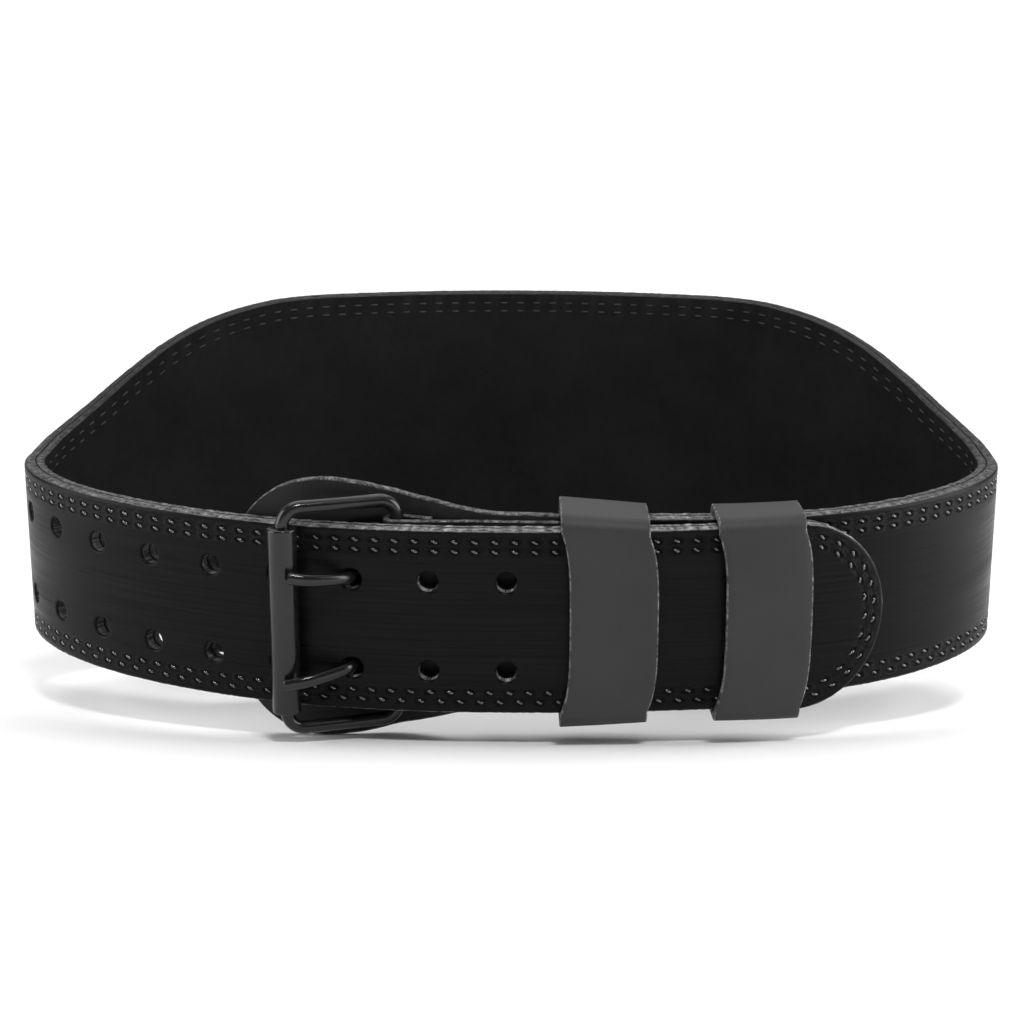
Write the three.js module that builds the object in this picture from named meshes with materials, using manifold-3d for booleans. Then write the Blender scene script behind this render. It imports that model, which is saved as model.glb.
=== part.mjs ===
import * as THREE from 'three';
import { mergeVertices } from 'three/addons/utils/BufferGeometryUtils.js';
import { ConvexHull } from 'three/addons/math/ConvexHull.js';
import Module from 'manifold-3d';

// A leather weightlifting belt, fastened: a two-ply strap that widens to a tall back, wrapped
// round a waist, drawn through a two-prong roller buckle and tucked under two keepers.
// Millimetres. The belt is laid out about the centre of its loop, X to the right, Y to the back
// and Z along the waist's axis, and the whole is then stood on the floor as it rests.

// Driving sizes of the loop, seen from above
const loopHalfWidth = 178.8;
const loopFrontDepth = 96.4;
const loopBackDepth = 100;
const loopWidthPower = 1.95;
const loopFrontPower = 1.79;
const loopBackPower = 2;

// Driving sizes of the leather
const strapHeight = 64;
const backHeight = 152;
const outerPly = 3.7;
const liningPly = 3.2;
const plyGap = 0.3;
const fitGap = 0.35;
const edgeBevel = 0.8;
const taperReach = 222;
const backShift = 2;

// Driving sizes of the holes
const holeDiameter = 7;
const holePitch = 26.3;
const holePitchDrop = 0.4;
const holePairs = 9;
const holeRowSpacing = 31.3;
const holeRowDrop = 1.5;
const holeRowTwist = 0.35;
const pinnedHole = 2;
const pinnedHoleAt = -52;

// Driving sizes of the buckle
const wireDiameter = 4.5;
const frameHalfHeight = 38.8;
const frameCorner = 6.4;
const rollerAt = -73.2;
const rollerDiameter = 9.7;
const rollerClearance = 0.8;
const barAt = -38.6;
const barClearance = 0.9;
const prongWidth = 4.2;
const prongThickness = 3;
const prongSplay = 0.17;
const prongs = [
  { name: 'prong_upper', side: 1, shortOfRoller: 4 },
  { name: 'prong_lower', side: -1, shortOfRoller: 1.8 },
];

// Driving sizes of the overlap: the belt's buckle end, the guard sewn on its face, the fold that
// holds the buckle sewn on the guard, and the tip
const buckleRoom = 4.8;
const foldThickness = 2.2;
const foldHeight = 65;
const foldOuterEnd = 24;
const foldTuck = 12;
const bodyEnd = -12;
const tipAt = 129.3;
const tipHeight = 66;
const tipSwellReach = 56;
const guardThickness = 3.2;
const guardHeight = 92;
const guardSewnHeight = 66.6;
const guardSewnEnd = 28;
const guardWidestAt = -64.5;
const guardNoseLength = 37;
const guardNosePower = 2.2;
const guardDroop = 2;

// Driving sizes of the two keepers
const keeperWidth = 29.4;
const keeperThickness = 2.5;
const keeperCorner = 2.5;
const keeperBulge = 1.5;
const keepers = [
  { name: 'keeper_left', at: 34.8, bow: 3.1, turn: 1 },
  { name: 'keeper_right', at: 88.2, bow: 2.9, turn: 3 },
];

// Extra room over and under the belt at each keeper's left and right edge
const keeperRoom = {
  keeper_left: { overLeft: 2.4, overRight: 0, underLeft: 1.2, underRight: 0 },
  keeper_right: { overLeft: -0.2, overRight: 0, underLeft: 0.4, underRight: 1.2 },
};

// Densities in grams per cubic centimetre, for finding where the belt balances
const leatherDensity = 0.95;
const steelDensity = 7.85;

// Fineness of the facets
const beltStep = 9.5;
const wireSides = 10;
const rollerSides = 20;
const holeSides = 12;
const cornerSteps = 4;

// Sizes worked out from the driving ones
const beltThickness = outerPly + plyGap + liningPly;
const strapHalf = strapHeight / 2;
const backHalf = backHeight / 2;
const wireRadius = wireDiameter / 2;
const rollerRadius = rollerDiameter / 2;
const foldRadius = wireRadius + fitGap + foldThickness / 2;
const eyeRadius = wireRadius + fitGap + prongThickness / 2;
const overlapInset = beltThickness + 2 * plyGap + guardThickness + foldThickness + buckleRoom;

// How far the free end stands out from the loop, in belt thicknesses, along the overlap
const strapLiftRows = [
  { along: -0.9, lift: 0 },
  { along: -0.62, lift: 0 },
  { along: -0.33, lift: -0.14 },
  { along: 0, lift: -0.26 },
  { along: 0.28, lift: -0.08 },
  { along: 0.5, lift: 0.26 },
  { along: 0.8, lift: 0.92 },
  { along: 1, lift: 1.14 },
];

// How far the buckle end sinks in from the loop, as shares of the whole inset
const bodyInsetRows = [
  { along: -0.4, inset: 0.93 },
  { along: -0.1, inset: 1 },
  { along: 0.2, inset: 0.9 },
  { along: 0.42, inset: 0.69 },
  { along: 0.52, inset: 0.55 },
  { along: 0.66, inset: 0.34 },
  { along: 0.82, inset: 0.15 },
  { along: 1, inset: 0.03 },
  { along: 1.15, inset: 0 },
];

// Rise of the edge from the strap to the tall back, as shares of the taper's reach and rise
const backRiseRows = [
  { along: 0, rise: 1 },
  { along: 0.35, rise: 1 },
  { along: 0.43, rise: 0.986 },
  { along: 0.505, rise: 0.932 },
  { along: 0.577, rise: 0.84 },
  { along: 0.653, rise: 0.686 },
  { along: 0.734, rise: 0.466 },
  { along: 0.824, rise: 0.23 },
  { along: 0.91, rise: 0.083 },
  { along: 1, rise: 0 },
];

// Edge of the guard from its widest place to its sewn end, as shares of the rise over the sewn
// end's height, and how much of the droop its middle line takes there
const guardRows = [
  { along: 0, rise: 1, droop: 0.3 },
  { along: 0.1, rise: 0.93, droop: 0.45 },
  { along: 0.15, rise: 0.87, droop: 0.62 },
  { along: 0.22, rise: 0.75, droop: 0.9 },
  { along: 0.31, rise: 0.6, droop: 0.96 },
  { along: 0.42, rise: 0.43, droop: 0.44 },
  { along: 0.51, rise: 0.27, droop: 0.06 },
  { along: 0.67, rise: 0.1, droop: 0 },
  { along: 0.84, rise: 0.08, droop: 0 },
  { along: 1, rise: 0, droop: 0 },
];

// A smooth line through the rows of a table, level past its ends
function readTable(rows, column, along) {
  const last = rows.length - 1;
  if (along <= rows[0].along) return rows[0][column];
  if (along >= rows[last].along) return rows[last][column];
  const row = rows.findIndex((entry) => entry.along > along) - 1;
  const span = rows[row + 1].along - rows[row].along;
  const slopeAt = (index) => {
    if (index === 0 || index === last) return 0;
    const before = rows[index - 1];
    const after = rows[index + 1];
    const left = (rows[index][column] - before[column]) / (rows[index].along - before.along);
    const right = (after[column] - rows[index][column]) / (after.along - rows[index].along);
    return left * right <= 0 ? 0 : (2 * left * right) / (left + right);
  };
  const t = (along - rows[row].along) / span;
  const startPull = (t ** 3 - 2 * t ** 2 + t) * span * slopeAt(row);
  const endPull = (t ** 3 - t ** 2) * span * slopeAt(row + 1);
  const blend = 3 * t ** 2 - 2 * t ** 3;
  return rows[row][column] * (1 - blend) + rows[row + 1][column] * blend + startPull + endPull;
}

// The loop that the outer face follows, from the middle of the front round by the right
function loopPoint(angle) {
  const across = Math.cos(angle);
  const deep = Math.sin(angle);
  const depth = deep < 0 ? loopFrontDepth : loopBackDepth;
  const power = deep < 0 ? loopFrontPower : loopBackPower;
  return new THREE.Vector3(
    Math.sign(across) * loopHalfWidth * Math.abs(across) ** (2 / loopWidthPower),
    Math.sign(deep) * depth * Math.abs(deep) ** (2 / power),
    0,
  );
}

const loopSamples = 96;
const loopPoints = Array.from({ length: loopSamples }, (_, index) =>
  loopPoint(-Math.PI / 2 + (2 * Math.PI * index) / loopSamples));
const loop = new THREE.CatmullRomCurve3(loopPoints, true);
loop.arcLengthDivisions = 1440;
const girth = loop.getLength();

// Belt space: distance along the loop from the middle of the front, distance out from the loop,
// and height
function place(along, out, height) {
  const share = (((along / girth) % 1) + 1) % 1;
  const point = loop.getPointAt(share);
  const tangent = loop.getTangentAt(share);
  return new THREE.Vector3(point.x + tangent.y * out, point.y - tangent.x * out, height);
}

const strapLift = (along) => beltThickness * readTable(strapLiftRows, 'lift', along / tipAt);
const bodyInset = (along) => overlapInset * readTable(bodyInsetRows, 'inset', along / tipAt);

// Place of the belt's outer face, from its buckle end (negative) round to its tip (past a girth)
function outerFace(along) {
  return along < girth / 2 ? -bodyInset(along) : strapLift(along - girth);
}

function beltHalf(along) {
  const tip = girth + tipAt;
  const fromBack = Math.abs(along - girth / 2 + backShift);
  const rise = readTable(backRiseRows, 'rise', fromBack / taperReach);
  const half = strapHalf + (backHalf - strapHalf) * rise;
  const intoTip = Math.max(0, along - (tip - strapHalf)) / strapHalf;
  return (half + tipSwell(along)) * Math.sqrt(Math.max(0, 1 - intoTip ** 2));
}

// The strap grows a little taller towards its tip, all of it at the lower edge
function tipSwell(along) {
  const swellStart = girth + tipAt - tipSwellReach;
  const share = THREE.MathUtils.smoothstep(along, swellStart, girth + tipAt - strapHalf);
  return (tipHeight / 2 - strapHalf) * share;
}

// Turns a list of matching rings of points into one closed body
function loft(rings, closedPath = false) {
  const size = rings[0].length;
  const positions = rings.flat().flatMap((point) => [point.x, point.y, point.z]);
  const triangles = [];
  const spans = closedPath ? rings.length : rings.length - 1;
  for (let ring = 0; ring < spans; ring += 1) {
    const here = ring * size;
    const next = ((ring + 1) % rings.length) * size;
    for (let corner = 0; corner < size; corner += 1) {
      const after = (corner + 1) % size;
      triangles.push(here + corner, next + corner, next + after);
      triangles.push(here + corner, next + after, here + after);
    }
  }
  if (!closedPath) {
    const end = (rings.length - 1) * size;
    for (let corner = 1; corner < size - 1; corner += 1) {
      triangles.push(0, corner, corner + 1);
      triangles.push(end, end + corner + 1, end + corner);
    }
  }
  const geometry = new THREE.BufferGeometry();
  geometry.setAttribute('position', new THREE.Float32BufferAttribute(positions, 3));
  geometry.setIndex(triangles);
  return volumeOf(geometry).volume < 0 ? turnedOver(geometry) : geometry;
}

function turnedOver(geometry) {
  const index = geometry.getIndex().array;
  for (let first = 0; first < index.length; first += 3) {
    const kept = index[first + 1];
    index[first + 1] = index[first + 2];
    index[first + 2] = kept;
  }
  return geometry;
}

// Volume and centre of a closed body, summed over tetrahedra from the origin
function volumeOf(geometry) {
  const index = geometry.getIndex().array;
  const position = geometry.getAttribute('position');
  const corners = [new THREE.Vector3(), new THREE.Vector3(), new THREE.Vector3()];
  const moment = new THREE.Vector3();
  let volume = 0;
  for (let first = 0; first < index.length; first += 3) {
    corners.forEach((corner, offset) => corner.fromBufferAttribute(position, index[first + offset]));
    const part = corners[0].dot(corners[1].clone().cross(corners[2])) / 6;
    volume += part;
    corners.forEach((corner) => moment.addScaledVector(corner, part / 4));
  }
  return { volume, centre: moment.divideScalar(volume) };
}

// Sweeps a flat section along a line of points; the section's first axis stays along reference
function sweep(points, section, reference, closedPath = false) {
  const count = points.length;
  const rings = points.map((point, index) => {
    const before = closedPath ? points[(index + count - 1) % count] : points[Math.max(0, index - 1)];
    const after = closedPath ? points[(index + 1) % count] : points[Math.min(count - 1, index + 1)];
    const tangent = after.clone().sub(before).normalize();
    const side = new THREE.Vector3().crossVectors(tangent, reference).normalize();
    const up = new THREE.Vector3().crossVectors(side, tangent);
    return section.map(([along, across]) =>
      point.clone().addScaledVector(up, along).addScaledVector(side, across));
  });
  return loft(rings, closedPath);
}

function ovalSection(alongRadius, acrossRadius, sides) {
  return Array.from({ length: sides }, (_, index) => {
    const angle = (2 * Math.PI * (index + 0.5)) / sides;
    return [alongRadius * Math.cos(angle), acrossRadius * Math.sin(angle)];
  });
}

const wasm = await Module();
wasm.setup();

function toManifold(geometry) {
  const bare = geometry.clone();
  bare.deleteAttribute('normal');
  bare.deleteAttribute('uv');
  const merged = mergeVertices(bare, 1e-4);
  return new wasm.Manifold(new wasm.Mesh({
    numProp: 3,
    vertProperties: new Float32Array(merged.getAttribute('position').array),
    triVerts: new Uint32Array(merged.getIndex().array),
  }));
}

function cutAway(geometry, tools) {
  const body = tools.reduce((left, tool) => left.subtract(toManifold(tool)), toManifold(geometry));
  const mesh = body.getMesh();
  const cut = new THREE.BufferGeometry();
  cut.setAttribute('position', new THREE.Float32BufferAttribute(Array.from(mesh.vertProperties), 3));
  cut.setIndex(Array.from(mesh.triVerts));
  return cut;
}

// Leather and metal finishes
const smoothLeather = new THREE.MeshStandardMaterial({ color: 0x1c1c1d, roughness: 0.42 });
const suede = new THREE.MeshStandardMaterial({ color: 0x161616, roughness: 0.95 });
const grainLeather = new THREE.MeshStandardMaterial({ color: 0x2a2a2b, roughness: 0.55 });
const mattLeather = new THREE.MeshStandardMaterial({ color: 0x3b3b3c, roughness: 0.7 });
const blackMetal = new THREE.MeshStandardMaterial({ color: 0x2b2b2c, roughness: 0.45, metalness: 0.6 });

const belt = new THREE.Group();
const parts = [];

function addPart(name, geometry, material, density) {
  const mesh = new THREE.Mesh(geometry, material);
  mesh.name = name;
  belt.add(mesh);
  parts.push({ mesh, density });
}

// Places along the belt where its facets meet, closer together round the tip
function beltStations() {
  const tipStart = girth + tipAt - strapHalf;
  const count = Math.round((tipStart - bodyEnd) / beltStep);
  const even = Array.from({ length: count }, (_, index) =>
    bodyEnd + ((tipStart - bodyEnd) * index) / count);
  const tipSteps = 9;
  const lastTurn = 0.46 * Math.PI;
  const round = Array.from({ length: tipSteps + 1 }, (_, index) =>
    tipStart + strapHalf * Math.sin((lastTurn * index) / tipSteps));
  return [...even, ...round];
}

// Middles of the punched holes, a pair for each step of the pitch
function holeCentres() {
  const centres = [];
  for (let pair = 0; pair < holePairs; pair += 1) {
    const steps = pair - pinnedHole;
    const shrink = holePitchDrop * (steps - 1 + 2 * pinnedHole) / 2;
    const along = girth + pinnedHoleAt - steps * (holePitch - shrink);
    const middle = -holeRowDrop + holeRowTwist * Math.max(0, steps);
    centres.push({ along, height: middle + holeRowSpacing / 2 });
    centres.push({ along, height: middle - holeRowSpacing / 2 });
  }
  return centres;
}

function holePunches() {
  const reach = beltThickness;
  return holeCentres().map(({ along, height }) => {
    const start = place(along, outerFace(along) - beltThickness - reach, height);
    const end = place(along, outerFace(along) + reach, height);
    const direction = end.clone().sub(start);
    const punch = new THREE.CylinderGeometry(
      holeDiameter / 2, holeDiameter / 2, direction.length(), holeSides);
    const turn = new THREE.Quaternion().setFromUnitVectors(
      new THREE.Vector3(0, 1, 0), direction.clone().normalize());
    punch.applyQuaternion(turn);
    const middle = start.lerp(end, 0.5);
    return punch.translate(middle.x, middle.y, middle.z);
  });
}

// The outer ply has its outer corners bevelled, the lining is square
function addBeltPlies() {
  const stations = beltStations();
  const outer = stations.map((along) => {
    const half = beltHalf(along);
    const middle = -tipSwell(along);
    const face = outerFace(along);
    const bevel = Math.min(edgeBevel, half / 3);
    return [
      place(along, face - outerPly, middle - half),
      place(along, face - bevel, middle - half),
      place(along, face, middle + bevel - half),
      place(along, face, middle + half - bevel),
      place(along, face - bevel, middle + half),
      place(along, face - outerPly, middle + half),
    ];
  });
  const lining = stations.map((along) => {
    const half = beltHalf(along);
    const middle = -tipSwell(along);
    const face = outerFace(along) - outerPly - plyGap;
    return [
      place(along, face - liningPly, middle - half),
      place(along, face, middle - half),
      place(along, face, middle + half),
      place(along, face - liningPly, middle + half),
    ];
  });
  const punches = holePunches();
  addPart('belt_outer', cutAway(loft(outer), punches), smoothLeather, leatherDensity);
  addPart('belt_lining', cutAway(loft(lining), punches), suede, leatherDensity);
}

// The two upright bars of the buckle in belt space
const rollerOut = strapLift(rollerAt) + rollerClearance + rollerRadius;
const barOut = strapLift(barAt) - beltThickness - barClearance - 2 * foldRadius + wireRadius + fitGap;
const rollerAxis = place(rollerAt, rollerOut, 0);
const barAxis = place(barAt, barOut, 0);

// The wire frame: a rectangle with round corners, standing on the line between the two bars
function addFrame() {
  const across = barAxis.clone().sub(rollerAxis);
  const length = across.length();
  across.normalize();
  const outline = [];
  const corners = [
    { middle: [length - frameCorner, frameHalfHeight - frameCorner], from: 0 },
    { middle: [frameCorner, frameHalfHeight - frameCorner], from: Math.PI / 2 },
    { middle: [frameCorner, frameCorner - frameHalfHeight], from: Math.PI },
    { middle: [length - frameCorner, frameCorner - frameHalfHeight], from: 1.5 * Math.PI },
  ];
  corners.forEach(({ middle, from }) => {
    for (let step = 0; step <= cornerSteps + 1; step += 1) {
      const angle = from + (Math.PI / 2) * (step / (cornerSteps + 1));
      const distance = middle[0] + frameCorner * Math.cos(angle);
      const height = middle[1] + frameCorner * Math.sin(angle);
      outline.push(rollerAxis.clone().addScaledVector(across, distance).setZ(height));
    }
  });
  const flat = new THREE.Vector3(across.y, -across.x, 0);
  const wire = sweep(outline, ovalSection(wireRadius, wireRadius, wireSides), flat, true);
  addPart('buckle_frame', wire, blackMetal, steelDensity);
}

// A tube that turns on the frame's outer bar
function addRoller() {
  const half = frameHalfHeight - frameCorner;
  const inside = wireRadius + fitGap;
  const profile = [
    new THREE.Vector2(inside, -half),
    new THREE.Vector2(rollerRadius - fitGap, -half),
    new THREE.Vector2(rollerRadius, fitGap - half),
    new THREE.Vector2(rollerRadius, half - fitGap),
    new THREE.Vector2(rollerRadius - fitGap, half),
    new THREE.Vector2(inside, half),
    new THREE.Vector2(inside, -half),
  ];
  const tube = new THREE.LatheGeometry(profile, rollerSides);
  tube.rotateX(Math.PI / 2);
  tube.translate(rollerAxis.x, rollerAxis.y, 0);
  addPart('buckle_roller', tube, blackMetal, steelDensity);
}

// Each prong curls round the inner bar, passes out through a punched hole and lies on the roller
const pinnedAlong = girth + pinnedHoleAt;
const pinnedMiddle = place(pinnedAlong, outerFace(pinnedAlong) - beltThickness / 2, 0);
const outward = place(pinnedAlong, 1, 0).sub(place(pinnedAlong, 0, 0));
const leftward = new THREE.Vector3(outward.y, -outward.x, 0);
const prongRootHeight = holeRowSpacing / 2 - prongSplay * beltThickness;

function addProng({ name, side, shortOfRoller }) {
  const stitch = (left, out, height) => pinnedMiddle.clone()
    .addScaledVector(leftward, left)
    .addScaledVector(outward, out)
    .setZ(side * height - holeRowDrop);
  const bar = barAxis.clone().sub(pinnedMiddle);
  const barLeft = bar.dot(leftward);
  const barOutward = bar.dot(outward);
  const roller = rollerAxis.clone().sub(pinnedMiddle);
  const rollerLeft = roller.dot(leftward);
  const onRoller = roller.dot(outward) + rollerRadius + fitGap + prongThickness / 2;
  const eye = [];
  const eyeSteps = 9;
  for (let step = 0; step <= eyeSteps; step += 1) {
    const angle = -1.5 * Math.PI * (1 - step / eyeSteps);
    eye.push(stitch(
      barLeft + eyeRadius * Math.cos(angle),
      barOutward + eyeRadius * Math.sin(angle),
      prongRootHeight,
    ));
  }
  const face = beltThickness / 2;
  const lean = 0.36;
  const rowHalf = holeRowSpacing / 2;
  const tipLeft = rollerLeft - shortOfRoller;
  const eyeLeft = barLeft + eyeRadius;
  const route = new THREE.CatmullRomCurve3([
    eye[eyeSteps],
    stitch((eyeLeft - lean * face) * 0.55, (barOutward - face) * 0.62, prongRootHeight),
    stitch(-lean * face, -face, rowHalf - prongSplay * face * lean),
    stitch(lean * face, face, rowHalf + prongSplay * face * lean),
    stitch(tipLeft * 0.4, face + (onRoller - face) * 0.52, rowHalf + prongSplay * tipLeft * 0.4),
    stitch(tipLeft * 0.7, face + (onRoller - face) * 0.86, rowHalf + prongSplay * tipLeft * 0.7),
    stitch(tipLeft, onRoller, rowHalf + prongSplay * tipLeft),
  ]);
  const path = [...eye.slice(0, -1), ...route.getPoints(22)];
  const section = ovalSection(prongWidth / 2, prongThickness / 2, wireSides - 2);
  addPart(name, sweep(path, section, new THREE.Vector3(0, 0, 1)), blackMetal, steelDensity);
}

// Half the height and the middle line of the guard, which lies on the belt's outer face at its
// sewn end and behind the buckle at the other
function guardHalf(along) {
  const sewnHalf = guardSewnHeight / 2;
  const broadHalf = guardHeight / 2;
  if (along < guardWidestAt) {
    const intoNose = (guardWidestAt - along) / guardNoseLength;
    return broadHalf * Math.max(0, 1 - intoNose ** guardNosePower) ** (1 / guardNosePower);
  }
  const share = (along - guardWidestAt) / (guardSewnEnd - guardWidestAt);
  return sewnHalf + (broadHalf - sewnHalf) * readTable(guardRows, 'rise', share);
}

function guardMiddle(along) {
  const share = (along - guardWidestAt) / (guardSewnEnd - guardWidestAt);
  return -guardDroop * readTable(guardRows, 'droop', share);
}

function guardFace(along) {
  const behindStrap = (at) => strapLift(at) - beltThickness - 2 * fitGap;
  const onBody = (at) => -bodyInset(at) + plyGap + guardThickness;
  const nose = guardWidestAt - guardNoseLength;
  const rows = [
    { along: nose, out: behindStrap(nose) },
    { along: rollerAt, out: behindStrap(rollerAt) - guardThickness / 2 },
    { along: (rollerAt + barAt) / 2, out: (behindStrap(barAt) + barOut - eyeRadius) / 2 },
    { along: barAt, out: barOut - eyeRadius - prongThickness / 2 - fitGap },
    { along: bodyEnd - guardThickness, out: onBody(bodyEnd) },
  ];
  return along > bodyEnd ? onBody(along) : readTable(rows, 'out', along);
}

function addGuard() {
  const noseSteps = 9;
  const firstTurn = 0.46 * Math.PI;
  const nose = Array.from({ length: noseSteps }, (_, index) =>
    guardWidestAt - guardNoseLength * Math.sin(firstTurn * (1 - index / noseSteps)));
  const freeSteps = 9;
  const free = Array.from({ length: freeSteps }, (_, index) =>
    guardWidestAt + ((bodyEnd - guardWidestAt) * index) / freeSteps);
  const sewnSteps = 5;
  const sewn = Array.from({ length: sewnSteps + 1 }, (_, index) =>
    bodyEnd + ((guardSewnEnd - bodyEnd) * index) / sewnSteps);
  const sections = [...nose, ...free, ...sewn].map((along) => {
    const half = guardHalf(along);
    const middle = guardMiddle(along);
    const face = guardFace(along);
    return [
      place(along, face - guardThickness, middle - half),
      place(along, face, middle - half),
      place(along, face, middle + half),
      place(along, face - guardThickness, middle + half),
    ];
  });
  addPart('buckle_guard', loft(sections), grainLeather, leatherDensity);
}

// A leather fold round the inner bar: a long leaf sewn on the guard's face and a short one tucked in
function addBuckleFold() {
  const onGuard = (along) => guardFace(along) + plyGap + foldThickness / 2;
  const bar = (angle) => barAxis.clone().add(
    place(barAt, barOut + foldRadius, 0).sub(barAxis)
      .applyAxisAngle(new THREE.Vector3(0, 0, 1), angle));
  const outerLeaf = [foldOuterEnd, foldOuterEnd * 0.6, foldOuterEnd * 0.2, bodyEnd * 0.5, bodyEnd];
  const path = outerLeaf.map((along) => place(along, onGuard(along), 0));
  const turns = 8;
  for (let step = 0; step <= turns; step += 1) {
    path.push(bar(-Math.PI * (step / turns)));
  }
  const innerStop = barAt + foldTuck;
  path.push(place(innerStop, onGuard(innerStop) + fitGap, 0));
  const half = foldHeight / 2;
  const section = [
    [-half, -foldThickness / 2],
    [half, -foldThickness / 2],
    [half, foldThickness / 2],
    [-half, foldThickness / 2],
  ];
  const fold = sweep(path, section, new THREE.Vector3(0, 0, 1));
  const slotLength = 2 * (eyeRadius + prongThickness);
  const slotHeight = prongWidth + 2 * fitGap;
  const slots = [1, -1].map((upDown) => {
    const slot = new THREE.BoxGeometry(slotLength, 3 * slotLength, slotHeight);
    return slot.translate(barAxis.x, barAxis.y, upDown * prongRootHeight - holeRowDrop);
  });
  addPart('buckle_fold', cutAway(fold, slots), grainLeather, leatherDensity);
}

// A keeper: a flat band round both layers of the belt, square to them and not to the loop. Its
// front is bulged and its edges are bowed along the belt.
function addKeeper({ name, at, bow, turn }) {
  const { overLeft, overRight, underLeft, underRight } = keeperRoom[name];
  const clearance = fitGap + keeperCorner * 0.3;
  const turnAngle = THREE.MathUtils.degToRad(turn);
  const alongBelt = new THREE.Vector3(Math.cos(turnAngle), Math.sin(turnAngle), 0);
  const outOfBelt = new THREE.Vector3(Math.sin(turnAngle), -Math.cos(turnAngle), 0);
  const centre = place(at, -bodyInset(at) - beltThickness / 2, 0);
  const faceDistance = (offset, faceOut) => {
    let along = at + offset;
    let point = centre;
    for (let round = 0; round < 6; round += 1) {
      point = place(along, faceOut(along), 0).sub(centre);
      along += offset - point.dot(alongBelt);
    }
    return point.dot(outOfBelt);
  };
  const acrossSteps = 3;
  const frontSteps = 6;
  const stops = [];
  const turnCorner = (front, top, from) => {
    for (let step = 0; step <= cornerSteps; step += 1) {
      stops.push({ front, top, angle: from + (Math.PI / 2) * (step / cornerSteps) });
    }
  };
  turnCorner(true, -1, -Math.PI / 2);
  for (let step = 1; step < frontSteps; step += 1) {
    stops.push({ front: true, top: -1 + (2 * step) / frontSteps });
  }
  turnCorner(true, 1, 0);
  turnCorner(false, 1, Math.PI / 2);
  turnCorner(false, -1, Math.PI);
  const bandPoint = (stop, offset, thickness) => {
    const across = 0.5 + offset / keeperWidth;
    const over = overLeft + (overRight - overLeft) * across;
    const under = underLeft + (underRight - underLeft) * across;
    const room = stop.top > 0 ? over : under;
    const flatHalf = strapHalf + clearance + room - keeperCorner;
    const swell = stop.front ? 1 - stop.top ** 2 : 0;
    const shift = stop.front ? bow * (1 - stop.top ** 4) : 0;
    const outside = faceDistance(offset + shift, strapLift) + clearance + keeperBulge * swell;
    const inside = faceDistance(offset, (along) => -bodyInset(along) - beltThickness) - clearance;
    const radius = keeperCorner + thickness;
    const middle = stop.front ? outside - keeperCorner : inside + keeperCorner;
    const angle = stop.angle ?? 0;
    return centre.clone()
      .addScaledVector(alongBelt, offset + shift)
      .addScaledVector(outOfBelt, middle + radius * Math.cos(angle))
      .setZ(stop.top * flatHalf + radius * Math.sin(angle));
  };
  const rings = stops.map((stop) => {
    const inner = [];
    const outer = [];
    for (let step = 0; step <= acrossSteps; step += 1) {
      const offset = keeperWidth * (step / acrossSteps - 0.5);
      inner.push(bandPoint(stop, offset, 0));
      outer.unshift(bandPoint(stop, offset, keeperThickness));
    }
    return [...inner, ...outer];
  });
  addPart(name, loft(rings, true), mattLeather, leatherDensity);
}

addBeltPlies();
addFrame();
addRoller();
prongs.forEach(addProng);
addBuckleFold();
addGuard();
keepers.forEach(addKeeper);

// Where all the parts together balance
function balancePoint() {
  const sum = new THREE.Vector3();
  let mass = 0;
  parts.forEach(({ mesh, density }) => {
    const geometry = mesh.geometry.getIndex() ? mesh.geometry : mergeVertices(mesh.geometry);
    const { volume, centre } = volumeOf(geometry);
    sum.addScaledVector(centre, volume * density);
    mass += volume * density;
  });
  return sum.divideScalar(mass);
}

// The belt stands on the three low points that the balance point lies above
function standOnFloor() {
  const points = parts.flatMap(({ mesh }) => {
    const position = mesh.geometry.getAttribute('position');
    return Array.from({ length: position.count }, (_, index) =>
      new THREE.Vector3().fromBufferAttribute(position, index));
  });
  const balance = balancePoint();
  const down = new THREE.Ray(balance, new THREE.Vector3());
  const hull = new ConvexHull().setFromPoints(points);
  const carrying = hull.faces.filter((face) => {
    const [first, second, third] = [face.edge, face.edge.next, face.edge.prev]
      .map((edge) => edge.head().point);
    down.direction.copy(face.normal);
    return down.intersectTriangle(first, second, third, false, new THREE.Vector3()) !== null;
  });
  carrying.sort((first, second) => first.normal.z - second.normal.z);
  belt.quaternion.setFromUnitVectors(carrying[0].normal, new THREE.Vector3(0, 0, -1));
  const box = new THREE.Box3().setFromObject(belt, true);
  const middle = box.getCenter(new THREE.Vector3());
  belt.position.set(-middle.x, -middle.y, -box.min.z);
}

standOnFloor();

const model = new THREE.Group();
model.add(belt);

export default model;
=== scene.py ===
"""A black leather weightlifting belt, fastened: its looks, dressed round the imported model."""

import math

import bmesh
import bpy
import numpy as np
from mathutils import Matrix, Quaternion, Vector


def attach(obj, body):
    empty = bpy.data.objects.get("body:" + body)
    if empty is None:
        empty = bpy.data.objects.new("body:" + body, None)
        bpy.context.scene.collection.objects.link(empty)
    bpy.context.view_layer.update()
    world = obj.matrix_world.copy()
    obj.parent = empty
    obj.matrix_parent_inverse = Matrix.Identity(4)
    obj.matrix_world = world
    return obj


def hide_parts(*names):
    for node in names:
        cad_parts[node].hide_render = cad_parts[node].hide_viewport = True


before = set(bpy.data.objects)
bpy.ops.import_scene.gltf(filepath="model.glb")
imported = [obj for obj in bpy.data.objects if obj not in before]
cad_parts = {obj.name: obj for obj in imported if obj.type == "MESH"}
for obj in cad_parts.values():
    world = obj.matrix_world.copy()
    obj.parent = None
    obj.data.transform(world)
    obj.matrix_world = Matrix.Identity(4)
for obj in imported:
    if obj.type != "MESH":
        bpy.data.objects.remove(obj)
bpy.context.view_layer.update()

# Sizes in millimetres, as the model has them
LOOP_HALF_WIDTH, LOOP_FRONT, LOOP_BACK = 178.8, 96.4, 100.0
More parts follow.
